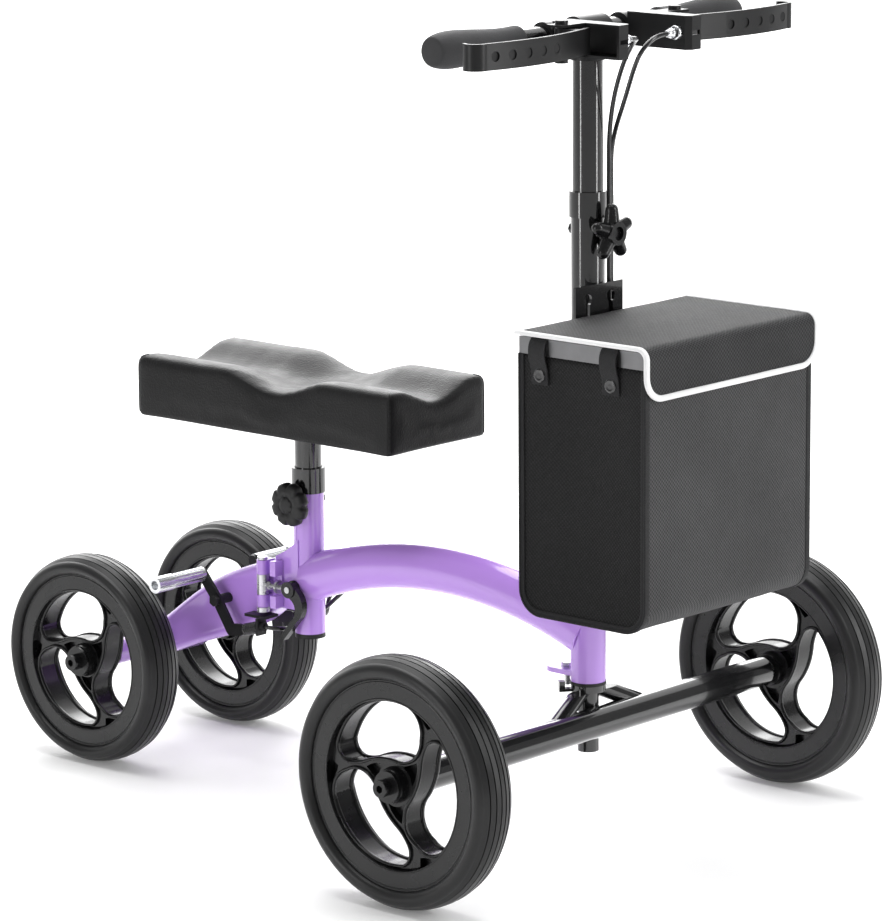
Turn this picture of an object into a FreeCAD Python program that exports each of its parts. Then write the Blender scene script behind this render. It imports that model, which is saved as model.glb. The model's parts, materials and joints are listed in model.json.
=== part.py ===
"""Four-wheel steerable knee scooter, in millimetres: +Z up, forward is -Y, the rider's left is +X."""
import FreeCAD
import Part
import math
import os
import re

from FreeCAD import Placement, Rotation, Vector

doc = FreeCAD.newDocument("KneeScooter")
sheet = doc.addObject("Spreadsheet::Sheet", "Dims")

DIMENSIONS = {
    # where the main axes stand
    "front_axle_y": -288, "column_y": -272, "seat_y": 118, "rear_axle_y": 340,
    "front_track": 602, "rear_track": 222,
    # wheels
    "front_tyre_radius": 127, "rear_tyre_radius": 115, "tyre_width": 50,
    "hub_radius": 17, "hub_width": 45, "bearing_radius": 11, "bearing_width": 7, "axle_bolt_radius": 4,
    # frame
    "head_tube_radius": 18.2, "head_tube_bore": 15, "head_tube_base": 168, "head_tube_height": 168,
    "seat_tube_radius": 16.6, "seat_tube_bore": 14.8, "seat_tube_base": 158, "seat_tube_height": 155,
    "arch_end_height": 216, "arch_rise": 39, "arch_tube_height": 50, "arch_tube_width": 42,
    # steering
    "steerer_radius": 11, "steerer_bore": 8.5, "steerer_base": 94, "steerer_height": 290,
    "beam_radius": 16, "beam_length": 540, "brace_radius": 9,
    "lower_stem_radius": 17, "lower_stem_bore": 15.8, "lower_stem_base": 352, "lower_stem_height": 300,
    "stem_collar_radius": 19, "stem_collar_height": 26,
    # height stage
    "upper_stem_radius": 15.5, "upper_stem_base": 500, "bar_height": 834, "bar_radius": 11, "bar_length": 460,
    "grip_length": 122, "lever_height": 30, "perch_reach": 93,
    # seat
    "seat_post_radius": 14.5, "pad_base": 385, "pad_height": 69, "pad_length": 372, "pad_width": 154,
    "pad_middle_y": 115, "seat_plate_thickness": 3,
    # basket
    "basket_width": 262, "basket_middle_x": -6, "basket_depth": 160,
    "basket_top": 549, "basket_drop": 281, "basket_rear_y": -291,
    "basket_wall": 3, "lid_thickness": 5, "flap_height": 52,
    # rear frame
    "fold_pin_x": 21, "fold_pin_y": 139, "fold_pin_radius": 4, "latch_pin_x": -27,
    "rear_axle_tube_radius": 14,
}
for row, (alias, value) in enumerate(DIMENSIONS.items(), start=1):
    sheet.set(f"A{row}", alias)
    sheet.set(f"B{row}", str(value))
    sheet.setAlias(f"B{row}", alias)
doc.recompute()

X = Vector(1, 0, 0)
Y = Vector(0, 1, 0)
Z = Vector(0, 0, 1)
EXPORTED = []


def size(alias):
    """The value of one cell of the sheet."""
    return float(getattr(sheet, alias))


def cells(expression):
    """An expression with every alias in it written as a cell of the sheet."""
    def cell(word):
        return f"Dims.{word[0]}" if word[0] in DIMENSIONS else word[0]
    return re.sub(r"[a-z_]\w*", cell, str(expression))


def bind(target, **properties):
    """Ties properties to expressions of the sheet's cells; __ stands for a dot in a property's path."""
    for name, expression in properties.items():
        target.setExpression(name.replace("__", "."), cells(expression))


def place(target, at, turn=None):
    """Puts an object at three expressions, after an optional turn."""
    if turn is not None:
        target.Placement = Placement(Vector(), turn)
    bind(target, Placement__Base__x=at[0], Placement__Base__y=at[1], Placement__Base__z=at[2])
    return target


ALONG = {"x": Rotation(Y, 90), "-x": Rotation(Y, -90), "y": Rotation(X, -90), "-y": Rotation(X, 90),
         "z": Rotation(), "-z": Rotation(X, 180)}


def cylinder(radius, height, at, along="z"):
    """A cylinder whose base centre is at the given place."""
    solid = doc.addObject("Part::Cylinder", "cylinder")
    bind(solid, Radius=radius, Height=height)
    return place(solid, at, ALONG[along] if isinstance(along, str) else along)


def cone(radius1, radius2, height, at, along="z"):
    solid = doc.addObject("Part::Cone", "cone")
    bind(solid, Radius1=radius1, Radius2=radius2, Height=height)
    return place(solid, at, ALONG[along] if isinstance(along, str) else along)


def box(length, width, height, at, turn=None):
    """A box from its low corner."""
    solid = doc.addObject("Part::Box", "box")
    bind(solid, Length=length, Width=width, Height=height)
    return place(solid, at, turn)


def centred_box(length, width, height, at):
    """A box centred in X and Y on the given place, standing on it."""
    return box(length, width, height, (f"{at[0]} - ({length}) / 2", f"{at[1]} - ({width}) / 2", at[2]))


def fuse(*parts):
    result = doc.addObject("Part::MultiFuse", "fuse")
    result.Shapes = list(parts)
    result.Refine = True
    return result


def cut(base, *tools):
    result = doc.addObject("Part::Cut", "cut")
    result.Base = base
    result.Tool = tools[0] if len(tools) == 1 else fuse(*tools)
    return result


def group(*parts):
    """Separate solids that share one node."""
    result = doc.addObject("Part::Compound", "group")
    result.Links = list(parts)
    return result


def mirrored(part):
    """The same piece on the other side of the scooter's middle plane."""
    result = doc.addObject("Part::Mirroring", "mirror")
    result.Source = part
    result.Normal = X
    return result


def tube(outer, inner, height, at, along="z"):
    return cut(cylinder(outer, height, at, along), cylinder(inner, height, at, along))


def formed(shape, at=Vector(), turn=Rotation()):
    """A piece whose shape is made directly and then placed."""
    feature = doc.addObject("Part::Feature", "formed")
    feature.Shape = shape
    feature.Placement = Placement(at, turn).multiply(shape.Placement)
    return feature


def node(name, part):
    """Names a finished sub-part, so that it is checked and written."""
    part.Label = name
    EXPORTED.append(part)
    return part


def outline(start, *steps):
    """Edges of a closed outline: a step of one point is a line, a step of two is an arc via the first."""
    edges = []
    here = Vector(*start)
    for step in steps + (((start,)),):
        points = [Vector(*point) for point in step]
        if (points[-1] - here).Length < 1e-6:
            continue
        edges.append(Part.Arc(here, *points) if len(points) == 2 else Part.LineSegment(here, points[0]))
        here = points[-1]
    return edges


def sketch(body, role, *outlines):
    """A sketch on one of the body's own origin planes, holding closed outlines of edges."""
    plane = next(item for item in body.Origin.OriginFeatures if item.Role == role)
    drawing = body.newObject("Sketcher::SketchObject", "Outline")
    drawing.AttachmentSupport = [(plane, "")]
    drawing.MapMode = "FlatFace"
    for edges in outlines:
        for edge in edges:
            drawing.addGeometry(edge, False)
    return drawing


def new_body():
    return doc.addObject("PartDesign::Body", "Body")


def turned(profile):
    """A body turned about its own X axis from a half profile drawn in XY."""
    body = new_body()
    turning = body.newObject("PartDesign::Revolution", "Turning")
    turning.Profile = sketch(body, "XY_Plane", profile)
    turning.ReferenceAxis = (turning.Profile[0], ["H_Axis"])
    turning.Angle = 360
    return body


def padded(role, length, *outlines):
    """A body padded both ways from one of its origin planes."""
    body = new_body()
    pad = body.newObject("PartDesign::Pad", "Pad")
    pad.Profile = sketch(body, role, *outlines)
    pad.SideType = "Symmetric"
    bind(pad, Length=length)
    return body


def pocketed(body, role, length, *outlines):
    """Cuts outlines through a body, both ways from one of its origin planes."""
    pocket = body.newObject("PartDesign::Pocket", "Pocket")
    pocket.Profile = sketch(body, role, *outlines)
    pocket.SideType = "Symmetric"
    bind(pocket, Length=length)
    return pocket


# ---------------------------------------------------------------- wheels

REFERENCE_RADIUS = size("front_tyre_radius")
WINDOW = (
    (-75, 30), ((-38, 74.9), (20, 81.6)), ((33, 70), (35.5, 52)), ((28, 32), (6, 23.5)),
    ((-16, 24), (-36, 18.5)), ((-47, 14.5), (-59, 13)), ((-71, 18), (-75, 30)),
)
POCKETS = (
    ((31, 79.5), ((42, 76), (52, 67)), ((43, 62),), ((39, 66),)),
    ((9.5, 19), ((29, 26.5),), ((27.5, 12), (22, 2)), ((19.5, 11), (9.5, 19))),
)
RIM_FACE = 18.5
RIM_WEB = 16.5
SPOKE_FACE = 12.5


def wheel_outline(points, scale):
    """A wheel outline in the body's YZ plane, seen from the rider's right with forward to the right."""
    def fit(point):
        return (-point[0] * scale, point[1] * scale, 0)
    return outline(fit(points[0]), *(tuple(fit(point) for point in step) for step in points[1:]))


def thirds(body, pocket):
    """Repeats a pocket three times round the wheel's axle."""
    pattern = body.newObject("PartDesign::PolarPattern", "Thirds")
    pattern.Originals = [pocket]
    axis = next(item for item in body.Origin.OriginFeatures if item.Role == "X_Axis")
    pattern.Axis = (axis, [""])
    pattern.Angle = 360
    pattern.Occurrences = 3
    body.Tip = pattern


def wheel_centre(tyre_radius):
    """A moulded wheel centre: hub, three swirl windows, blind pockets beside them and a flanged rim."""
    scale = size(tyre_radius) / REFERENCE_RADIUS
    half_hub = size("hub_width") / 2
    bore = size("bearing_radius")
    step = half_hub - size("bearing_width") - 0.5
    hub = size("hub_radius")
    seat = 101 * scale
    flange = 105 * scale
    ring = 86 * scale
    half_profile = ((step, bore - 3), (step, bore), (half_hub, bore), (half_hub, hub), (SPOKE_FACE, hub + 1.5),
                    (SPOKE_FACE, ring - 2.5), (RIM_FACE, ring), (RIM_FACE, flange), (RIM_WEB, flange),
                    (RIM_WEB, seat))
    profile = [(x, y, 0) for x, y in half_profile] + [(-x, y, 0) for x, y in reversed(half_profile)]
    body = turned(outline(profile[0], *((point,) for point in profile[1:])))
    doc.recompute()
    thirds(body, pocketed(body, "YZ_Plane", "hub_width * 2", wheel_outline(WINDOW, scale)))
    doc.recompute()
    web = formed(Part.makeCylinder(flange, 10, Vector(-5, 0, 0), X))
    blind = [wheel_outline(pocket, scale) for pocket in POCKETS]
    tools = []
    for edges in blind:
        face = Part.Face(Part.Wire([edge.toShape() for edge in edges]))
        prism = face.extrude(Vector(0, 0, 60))
        prism.Placement = Placement(Vector(-30, 0, 0), Rotation(Y, Z, X, "ZXY"))
        for third in range(3):
            copy = prism.copy()
            copy.rotate(Vector(), X, 120 * third)
            tools.append(copy)
    hollow = Part.makeCompound(tools).cut(web.Shape)
    doc.removeObject(web.Name)
    return cut(body, formed(hollow))


def tyre(tyre_radius):
    """A solid tyre: rounded side walls and a tread with five grooves round it."""
    radius = size(tyre_radius)
    seat = 101 * radius / REFERENCE_RADIUS + 0.05
    flange = 105 * radius / REFERENCE_RADIUS + 0.4
    half = size("tyre_width") / 2
    groove = 0.8
    tread = []
    for middle in (-14, -7, 0, 7, 14):
        crown = radius - 0.012 * middle * middle
        tread += [((middle - groove, crown, 0),), ((middle - groove, crown - 2, 0),),
                  ((middle + groove, crown - 2, 0),), ((middle + groove, crown, 0),)]
    shoulder = radius - 5.5
    return turned(outline(
        (-RIM_WEB + 0.2, seat, 0), ((-RIM_WEB + 0.2, flange, 0),), ((-RIM_FACE - 1, flange + 0.4, 0),),
        ((-half, (flange + shoulder) / 2, 0), (-19.5, shoulder, 0)), *tread, ((19.5, shoulder, 0),),
        ((half, (flange + shoulder) / 2, 0), (RIM_FACE + 1, flange + 0.4, 0)), ((RIM_WEB - 0.2, flange, 0),),
        ((RIM_WEB - 0.2, seat, 0),)))


WHEELS = (
    ("front_wheel_right", "front_tyre_radius", "-front_track / 2", "front_axle_y"),
    ("front_wheel_left", "front_tyre_radius", "front_track / 2", "front_axle_y"),
    ("rear_wheel_right", "rear_tyre_radius", "-rear_track / 2", "rear_axle_y"),
    ("rear_wheel_left", "rear_tyre_radius", "rear_track / 2", "rear_axle_y"),
)
for wheel_name, tyre_radius, wheel_x, wheel_y in WHEELS:
    at = (wheel_x, wheel_y, tyre_radius)
    node(wheel_name, place(wheel_centre(tyre_radius), at))
    node(wheel_name.replace("wheel", "tyre"), place(tyre(tyre_radius), at))


def axle_hardware(track, axle_y, height, axle_end):
    """Bearings and axle bolts of one pair of wheels: socket head, washer, shank and spacer on each side."""
    bearings = []
    bolts = []
    for side, along in ((-1, "-x"), (1, "x")):
        middle = f"{side} * {track} / 2"
        for end in (-1, 1):
            face = f"{middle} + {side * end} * (hub_width / 2 - bearing_width / 2)"
            start = f"{face} - {side} * bearing_width / 2"
            bearings.append(tube("bearing_radius - 0.06", "axle_bolt_radius + 0.02", "bearing_width",
                                 (start, axle_y, height), along))
        inner = f"{side} * {axle_end}"
        outer_face = f"{middle} + {side} * hub_width / 2"
        shank = cylinder("axle_bolt_radius", f"{track} / 2 + hub_width / 2 - {axle_end} + 18",
                         (f"{inner} - {side} * 15", axle_y, height), along)
        spacer = tube(6.5, "axle_bolt_radius", f"{track} / 2 - hub_width / 2 - {axle_end}",
                      (inner, axle_y, height), along)
        washer = cylinder(16, 2.6, (f"{outer_face} + {side} * 0.4", axle_y, height), along)
        head = cut(cylinder(8.5, 10, (f"{outer_face} + {side} * 3", axle_y, height), along),
                   hexagon(4.2, 7, (f"{outer_face} + {side} * 6.1", axle_y, height), along))
        bolts += [fuse(shank, washer, head), spacer]
    return group(*bearings), group(*bolts)


def hexagon(radius, height, at, along="z"):
    """A six-sided prism across its corners."""
    solid = doc.addObject("Part::Prism", "hexagon")
    solid.Polygon = 6
    bind(solid, Circumradius=radius, Height=height)
    return place(solid, at, ALONG[along])


front_bearings, front_bolts = axle_hardware("front_track", "front_axle_y", "front_tyre_radius",
                                            "beam_length / 2")
rear_bearings, rear_bolts = axle_hardware("rear_track", "rear_axle_y", "rear_tyre_radius", "82")
node("front_bearings", front_bearings)
node("front_axle_bolts", front_bolts)
node("rear_bearings", rear_bearings)
node("rear_axle_bolts", rear_bolts)

# ---------------------------------------------------------------- frame

COLUMN = ("0", "column_y")
SEAT = ("0", "seat_y")


def on(axis, height):
    """A point on the column's or the seat's axis."""
    return (axis[0], axis[1], height)


stop_tab = fuse(centred_box(28, 34, 5, ("0", "column_y + 22", 173)),
                cylinder(14, 5, ("0", "column_y + 37", 173)))
head_shell = cylinder("head_tube_radius", "head_tube_height", on(COLUMN, "head_tube_base"))
node("head_tube", cut(fuse(head_shell, stop_tab),
                      cylinder("head_tube_bore", "head_tube_height", on(COLUMN, "head_tube_base")),
                      cylinder(3, 5, ("0", "column_y + 28", 173))))
node("stop_bolt", fuse(cylinder(3, 24, ("0", "column_y + 28", 159)),
                       hexagon(6, 5, ("0", "column_y + 28", 178))))

cups = []
for flange_base, sleeve_base in (("head_tube_base - 3", "head_tube_base"),
                                 ("head_tube_base + head_tube_height",
                                  "head_tube_base + head_tube_height - 12")):
    shell = fuse(cylinder("head_tube_radius + 0.6", 3, on(COLUMN, flange_base)),
                 cylinder("head_tube_bore", 12, on(COLUMN, sleeve_base)))
    cups.append(cut(shell, cylinder("steerer_radius + 0.06", 40, on(COLUMN, f"{sleeve_base} - 10"))))
node("headset_cups", group(*cups))

seat_shell = tube("seat_tube_radius", "seat_tube_bore", "seat_tube_height + 18", on(SEAT, "seat_tube_base"))
node("seat_tube", cut(seat_shell, cylinder(4.2, 30, ("0", "seat_y", 303), "-x"),
                      cylinder(2.5, 30, ("0", "seat_y", 303), "x")))
node("seat_tube_plug", fuse(cylinder("seat_tube_radius", 5, on(SEAT, "seat_tube_base - 5")),
                            cylinder("seat_tube_bore", 10, on(SEAT, "seat_tube_base"))))
collar = cut(cylinder(18.5, 27, on(SEAT, "seat_tube_base + seat_tube_height")),
             cylinder("seat_tube_radius", 18, on(SEAT, "seat_tube_base + seat_tube_height")),
             cylinder("seat_tube_bore", 27, on(SEAT, "seat_tube_base + seat_tube_height")))
seat_nut = tube(8, 4.2, 5.6, ("-16.4", "seat_y", 303), "-x")
seat_guide = fuse(cylinder(2.5, 6, ("15.2", "seat_y", 303), "x"),
                  hexagon(5.5, 4, ("17.2", "seat_y", 303), "x"))
node("seat_collar", group(collar, cut(seat_nut, cylinder("seat_tube_radius", 60, on(SEAT, 280))), seat_guide))

# the arch is a stretch of a ring whose centre lies far below it
half_span = (size("seat_y") - size("column_y")) / 2
arch_radius = (half_span ** 2 + size("arch_rise") ** 2) / (2 * size("arch_rise"))
arch_half_angle = math.degrees(math.asin(half_span / arch_radius))
arch_middle = Vector(0, (size("seat_y") + size("column_y")) / 2,
                     size("arch_end_height") + size("arch_rise") - arch_radius)


def arch_solid(shrink):
    """A solid stretch of the arch's elliptical section, smaller by a wall on each side."""
    half_height = size("arch_tube_height") / 2 - shrink
    section = Part.Ellipse(Vector(0, 0, 0), half_height, size("arch_tube_width") / 2 - shrink)
    wire = Part.Wire([section.toShape()])
    wire.Placement = Placement(Vector(0, 0, arch_radius), Rotation(Vector(0, 0, 1), X, Y, "ZXY"))
    solid = Part.Face(wire)
    solid.rotate(Vector(), X, arch_half_angle)
    return solid.revolve(Vector(), Vector(-1, 0, 0), 2 * arch_half_angle)


arch = formed(arch_solid(0).cut(arch_solid(2)), arch_middle)
node("arch_tube", cut(arch, cylinder("seat_tube_radius", 300, on(SEAT, 100)),
                      cylinder("head_tube_radius", 300, on(COLUMN, 100)),
                      box(60, 40, 120, ("-30", "seat_y", 150))))

# hinge block behind the seat tube, with the latch flange on the right and the fold knuckles on the left
block_profile = outline((118, 184, 0), ((151, 184, 0),), ((151, 240, 0),), ((136, 248, 0), (118, 262, 0)))
block = padded("YZ_Plane", 36, block_profile)
flange = box(17, 7, 52, ("-35", "fold_pin_y + 1", 185))
notch = box(19, 9, 22, ("-39", "fold_pin_y", 198.5))
swing_limit = tube(90, 53, 60, ("fold_pin_x", "fold_pin_y + 13", 181))
latch_flange = cut(flange, notch, swing_limit)
fold_lugs = [fuse(cylinder(6.5, 18, ("fold_pin_x", "fold_pin_y + 13", level)),
                  box(9, 10, 18, ("fold_pin_x - 9", "fold_pin_y + 2", level))) for level in (184, 222)]
relieved = cut(block, box(20, 9, 90, ("14", "fold_pin_y + 6.2", 176)))
node("hinge_block", cut(fuse(relieved, latch_flange, *fold_lugs),
                        cylinder("seat_tube_radius", 120, on(SEAT, 160)),
                        cylinder("fold_pin_radius", 80, ("fold_pin_x", "fold_pin_y + 13", 170)),
                        box(14, 13.5, 19.2, ("fold_pin_x - 7", "fold_pin_y + 6", 202.4))))
node("hinge_pin", fuse(cylinder("fold_pin_radius - 0.05", 60, ("fold_pin_x", "fold_pin_y + 13", 182)),
                       cylinder(6, 3, ("fold_pin_x", "fold_pin_y + 13", 240))))

# ---------------------------------------------------------------- steering

node("steerer_tube", tube("steerer_radius", "steerer_bore", "steerer_height", on(COLUMN, "steerer_base")))
beam_at = ("-beam_length / 2", "front_axle_y", "front_tyre_radius")
beam_core = cylinder("beam_radius - 3", "beam_length - 36", ("-beam_length / 2 + 18", *beam_at[1:]), "x")
node("axle_beam", cut(cylinder("beam_radius", "beam_length", beam_at, "x"), beam_core,
                      cylinder("axle_bolt_radius", "beam_length", beam_at, "x"),
                      cylinder("steerer_radius", 90, on(COLUMN, 80))))


def brace(side):
    """A sloping tube from the crown ring down to the beam, mitred to both."""
    start = Vector(side * 6, size("column_y"), 162)
    end = Vector(side * 84, size("front_axle_y"), size("front_tyre_radius"))
    run = end - start
    solid = Part.makeCylinder(size("brace_radius"), run.Length, start, run)
    solid = solid.cut(Part.makeCylinder(size("beam_radius"), 600, Vector(-300, *end[1:]), X))
    above = Part.makeBox(80, 80, 40, Vector(-40, start.y - 40, 157.6))
    steerer = Part.makeCylinder(size("steerer_radius"), 120, Vector(0, start.y, 80))
    pieces = solid.cut(above).cut(steerer).Solids
    return formed(max(pieces, key=lambda piece: piece.Volume))


node("fork_braces", group(brace(-1), brace(1)))

fingers = []
for side in (-1, 1):
    turn = Rotation(Z, side * 52)
    arm_from = turn.multVec(Vector(-4, 17, 0)) + Vector(0, size("column_y"), 157.6)
    arm = formed(Part.makeBox(8, 14, 3), arm_from, turn)
    post_from = turn.multVec(Vector(-4, 25, 0)) + Vector(0, size("column_y"), 157.6)
    fingers += [arm, formed(Part.makeBox(8, 6, 11), post_from, turn)]
crown = tube("head_tube_radius", "steerer_radius", 7, on(COLUMN, "head_tube_base - 10.4"))
node("crown_ring", fuse(crown, *fingers))

stem_bottom = "head_tube_base + head_tube_height + 3.3"
stem_length = "lower_stem_base + lower_stem_height + 18 - head_tube_base - head_tube_height - 3.3"
lower = cut(cylinder("lower_stem_radius", stem_length, on(COLUMN, stem_bottom)),
            cylinder("upper_stem_radius + 0.1", 400, on(COLUMN, "steerer_base + steerer_height")),
            cylinder("steerer_radius", 60, on(COLUMN, "steerer_base + steerer_height - 60")),
            cylinder(4.2, 30, ("0", "column_y", 634), "-y"),
            cylinder(2.5, 30, ("0", "column_y", 634), "y"))
node("lower_stem", lower)
stem_collar = tube("stem_collar_radius", "lower_stem_radius", "stem_collar_height", on(COLUMN, 648))
collar_lip = tube("stem_collar_radius", "upper_stem_radius + 0.1", 4,
                  on(COLUMN, "648 + stem_collar_height - 4"))
stem_nut = cut(tube(8, 4.2, 8, ("0", "column_y - 16.4", 634), "-y"),
               cylinder("lower_stem_radius", 60, on(COLUMN, 600)))
stem_guide = fuse(cylinder(2.5, 6, ("0", "column_y + 15.7", 634), "y"),
                  hexagon(5.5, 4, ("0", "column_y + 17.6", 634), "y"))
node("stem_collar", group(fuse(stem_collar, collar_lip), stem_nut, stem_guide))

# basket bracket: a plate across the front of the stem with two keyholes
BRACKET_FRONT = "column_y - lower_stem_radius - 3"
plate = box(74, 3, 76, ("basket_middle_x - 37", BRACKET_FRONT, 506))
HOOK_XS = ("basket_middle_x - 18", "basket_middle_x + 18")
slots = []
for x in HOOK_XS:
    slots += [cylinder(6.3, 3, (x, BRACKET_FRONT, 568), "y"), cylinder(3.3, 3, (x, BRACKET_FRONT, 541), "y"),
              box(6.6, 3, 27, (f"{x} - 3.3", BRACKET_FRONT, 541))]
node("basket_bracket", cut(plate, *slots))

# ---------------------------------------------------------------- height stage

node("upper_stem", tube("upper_stem_radius", "upper_stem_radius - 2", "bar_height - 12 - upper_stem_base",
                        on(COLUMN, "upper_stem_base")))
BAR = ("column_y", "bar_height")
node("handlebar", tube("bar_radius", "bar_radius - 2", "bar_length", ("-bar_length / 2", *BAR), "x"))
clamp = fuse(cylinder(16.5, 44, ("-22", *BAR), "x"),
             cylinder("upper_stem_radius + 2.5", 22, on(COLUMN, "bar_height - 28")))
node("bar_clamp", cut(clamp, cylinder("bar_radius", 44, ("-22", *BAR), "x"),
                      cylinder("upper_stem_radius", 16, on(COLUMN, "bar_height - 28"))))


def mirror_pair(part):
    return group(part, mirrored(part))


grip_end = "bar_length / 2 - grip_length"
grip_shell = fuse(cone(14.5, 19, "grip_length - 16", (f"-({grip_end})", *BAR), "-x"),
                  cone(19, 17, 20, ("16 - bar_length / 2", *BAR), "-x"))
grip = cut(grip_shell, cylinder("bar_radius", "grip_length", (f"-({grip_end})", *BAR), "-x"))
node("handlebar_grips", mirror_pair(grip))

# brake perch: a box ahead of the bar, open towards the lever, clamped round the bar
PIVOT = ("-88", "column_y - 40", "bar_height")
PERCH_FRONT = "column_y - perch_reach"
shell = box(54, "perch_reach - 14", 34, ("-99", PERCH_FRONT, "bar_height - 17"))
cavity = box(52, "perch_reach - 18", 29, ("-100", f"{PERCH_FRONT} + 3", "bar_height - 14.5"))
corner = box(8, 8, 34, ("-50", PERCH_FRONT, "bar_height - 17"), Rotation(Z, -45))
front_cut = box(37, 45, 40, ("-101", f"{PERCH_FRONT} - 2", "bar_height - 20"))
rear_cut = box(30, 52, 40, ("-101", "column_y - 30", "bar_height - 20"))
slot = box(12, 6, 4.5, ("-62", f"{PERCH_FRONT} - 2", "bar_height - 2.2"))
ring = cylinder(15, 22, ("-48", *BAR), "-x")
perch = cut(fuse(cut(shell, cavity, corner, front_cut, rear_cut, slot), ring),
            cylinder("bar_radius", 60, ("-45", *BAR), "-x"))
pin = fuse(cylinder(3, 40, (PIVOT[0], PIVOT[1], "bar_height - 20")),
           cylinder(6.5, 4, (PIVOT[0], PIVOT[1], "bar_height + 17")),
           cylinder(6.5, 4, (PIVOT[0], PIVOT[1], "bar_height - 21")))
adjuster = fuse(cylinder(3.4, 14, ("-45", "column_y - 78", "bar_height"), "x"),
                hexagon(6, 5, ("-43", "column_y - 78", "bar_height"), "x"))
node("brake_perches", mirror_pair(fuse(perch, pin, adjuster)))


def curved_band(bend, thickness):
    """The flat face between two arcs, one each side of the arc through three points."""
    middle = Part.Arc(*bend).toShape().Curve
    reach = thickness / 2 / middle.Radius
    inner = [middle.Center + (point - middle.Center) * (1 - reach) for point in bend]
    outer = [middle.Center + (point - middle.Center) * (1 + reach) for point in bend]
    edges = [Part.Arc(*inner), Part.LineSegment(inner[2], outer[2]),
             Part.Arc(*reversed(outer)), Part.LineSegment(outer[0], inner[0])]
    return Part.Face(Part.Wire([edge.toShape() for edge in edges]))


def lever(side):
    """A brake lever: a tall flat band ahead of its pivot eye and along the grip, curled back at the tip."""
    def at(x, ahead):
        return Vector(side * x, -ahead, 0)
    along = (at(130, 72), at(185, 75), at(234, 69))
    bends = ((at(66, 56), at(98, 65), at(130, 72)), along, (at(234, 69), at(247, 62), at(243, 50)))
    height = size("lever_height") - 4
    solid = None
    for bend in bends:
        sector = curved_band(bend, 3.4).extrude(Vector(0, 0, height))
        solid = sector if solid is None else solid.fuse(sector)
    solid = solid.fuse([Part.makeCylinder(7, height, at(88, 40)),
                        Part.makeBox(9, 22, height, at(88, 62) - Vector(4.5, 0, 0))])
    solid = solid.cut(Part.makeCylinder(3.06, height, at(88, 40)))
    solid.translate(Vector(0, 0, -height / 2))
    arc = Part.Arc(*along).toShape().Curve
    for x in (136, 158, 180, 202, 224):
        middle = arc.Center.y - math.sqrt(arc.Radius ** 2 - (side * x - arc.Center.x) ** 2)
        solid = solid.cut(Part.makeCylinder(5, 2.5, Vector(side * x, middle - 3.2, 0), Y))
    return formed(solid.removeSplitter(), Vector(0, size("column_y"), size("bar_height")))


node("brake_lever_right", lever(-1))
node("brake_lever_left", lever(1))

# ---------------------------------------------------------------- knobs


def star_knob(lobes, lobe_radius, reach, thickness, stud):
    """A hand knob on +Z with rounded lobes, and its threaded stud below."""
    shape = Part.makeCylinder(reach - lobe_radius, thickness)
    for index in range(lobes):
        angle = 2 * math.pi * index / lobes
        tip = Vector(math.cos(angle), math.sin(angle), 0) * (reach - lobe_radius)
        shape = shape.fuse(Part.makeCylinder(lobe_radius, thickness, tip))
    return shape.fuse(Part.makeCylinder(4, stud, Vector(0, 0, -stud))).removeSplitter()


def stem_star():
    """A five-armed knob: tapered arms round a cupped middle."""
    shape = Part.makeCylinder(12, 16)
    for index in range(5):
        arm = Part.makeCone(9.5, 6.5, 23, Vector(0, 0, 6.5), X)
        arm = arm.fuse(Part.makeSphere(6.5, Vector(23, 0, 6.5)))
        arm.rotate(Vector(), Z, 90 + 72 * index)
        shape = shape.fuse(arm)
    shape = shape.common(Part.makeBox(80, 80, 16.5, Vector(-40, -40, 0)))
    shape = shape.cut(Part.makeCylinder(7, 5, Vector(0, 0, 12)))
    return shape.fuse(Part.makeCylinder(4, 8.3, Vector(0, 0, -8.3))).removeSplitter()


node("stem_knob", formed(stem_star(), Vector(0, size("column_y") - 24.7, 634), ALONG["-y"]))
node("seat_knob", formed(star_knob(8, 12, 24, 14, 7.3), Vector(-22.3, size("seat_y"), 303), ALONG["-x"]))

# ---------------------------------------------------------------- seat

node("seat_post", tube("seat_post_radius", "seat_post_radius - 2", 165,
                       on(SEAT, "pad_base - seat_plate_thickness - 165")))
node("seat_plate", centred_box(100, 290, "seat_plate_thickness",
                               ("0", "pad_middle_y", "pad_base - seat_plate_thickness")))
pad_core = centred_box("pad_width", "pad_length", "pad_height", ("0", "pad_middle_y", "pad_base"))
doc.recompute()
softened = doc.addObject("Part::Fillet", "softened")
softened.Base = pad_core
softened.Edges = [(index + 1, 9, 9) for index, edge in enumerate(pad_core.Shape.Edges)
                  if edge.BoundBox.ZMax - edge.BoundBox.ZMin > 1 or edge.BoundBox.ZMin > size("pad_base") + 1]
node("seat_pad", softened)

# ---------------------------------------------------------------- basket

rear = size("basket_rear_y") - 7
front = rear - size("basket_depth")
top = size("basket_top") - 18
bottom = size("basket_top") - size("basket_drop")


def side_profile(inset, corner, upper):
    """The basket's side outline with rounded lower corners, in the YZ plane."""
    back, ahead, low = rear - inset, front + inset, bottom + inset
    bend = corner * (1 - math.sqrt(0.5))
    return outline((ahead, upper, 0), ((ahead, low + corner, 0),),
                   ((ahead + bend, low + bend, 0), (ahead + corner, low, 0)), ((back - corner, low, 0),),
                   ((back - bend, low + bend, 0), (back, low + corner, 0)), ((back, upper, 0),))


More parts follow.
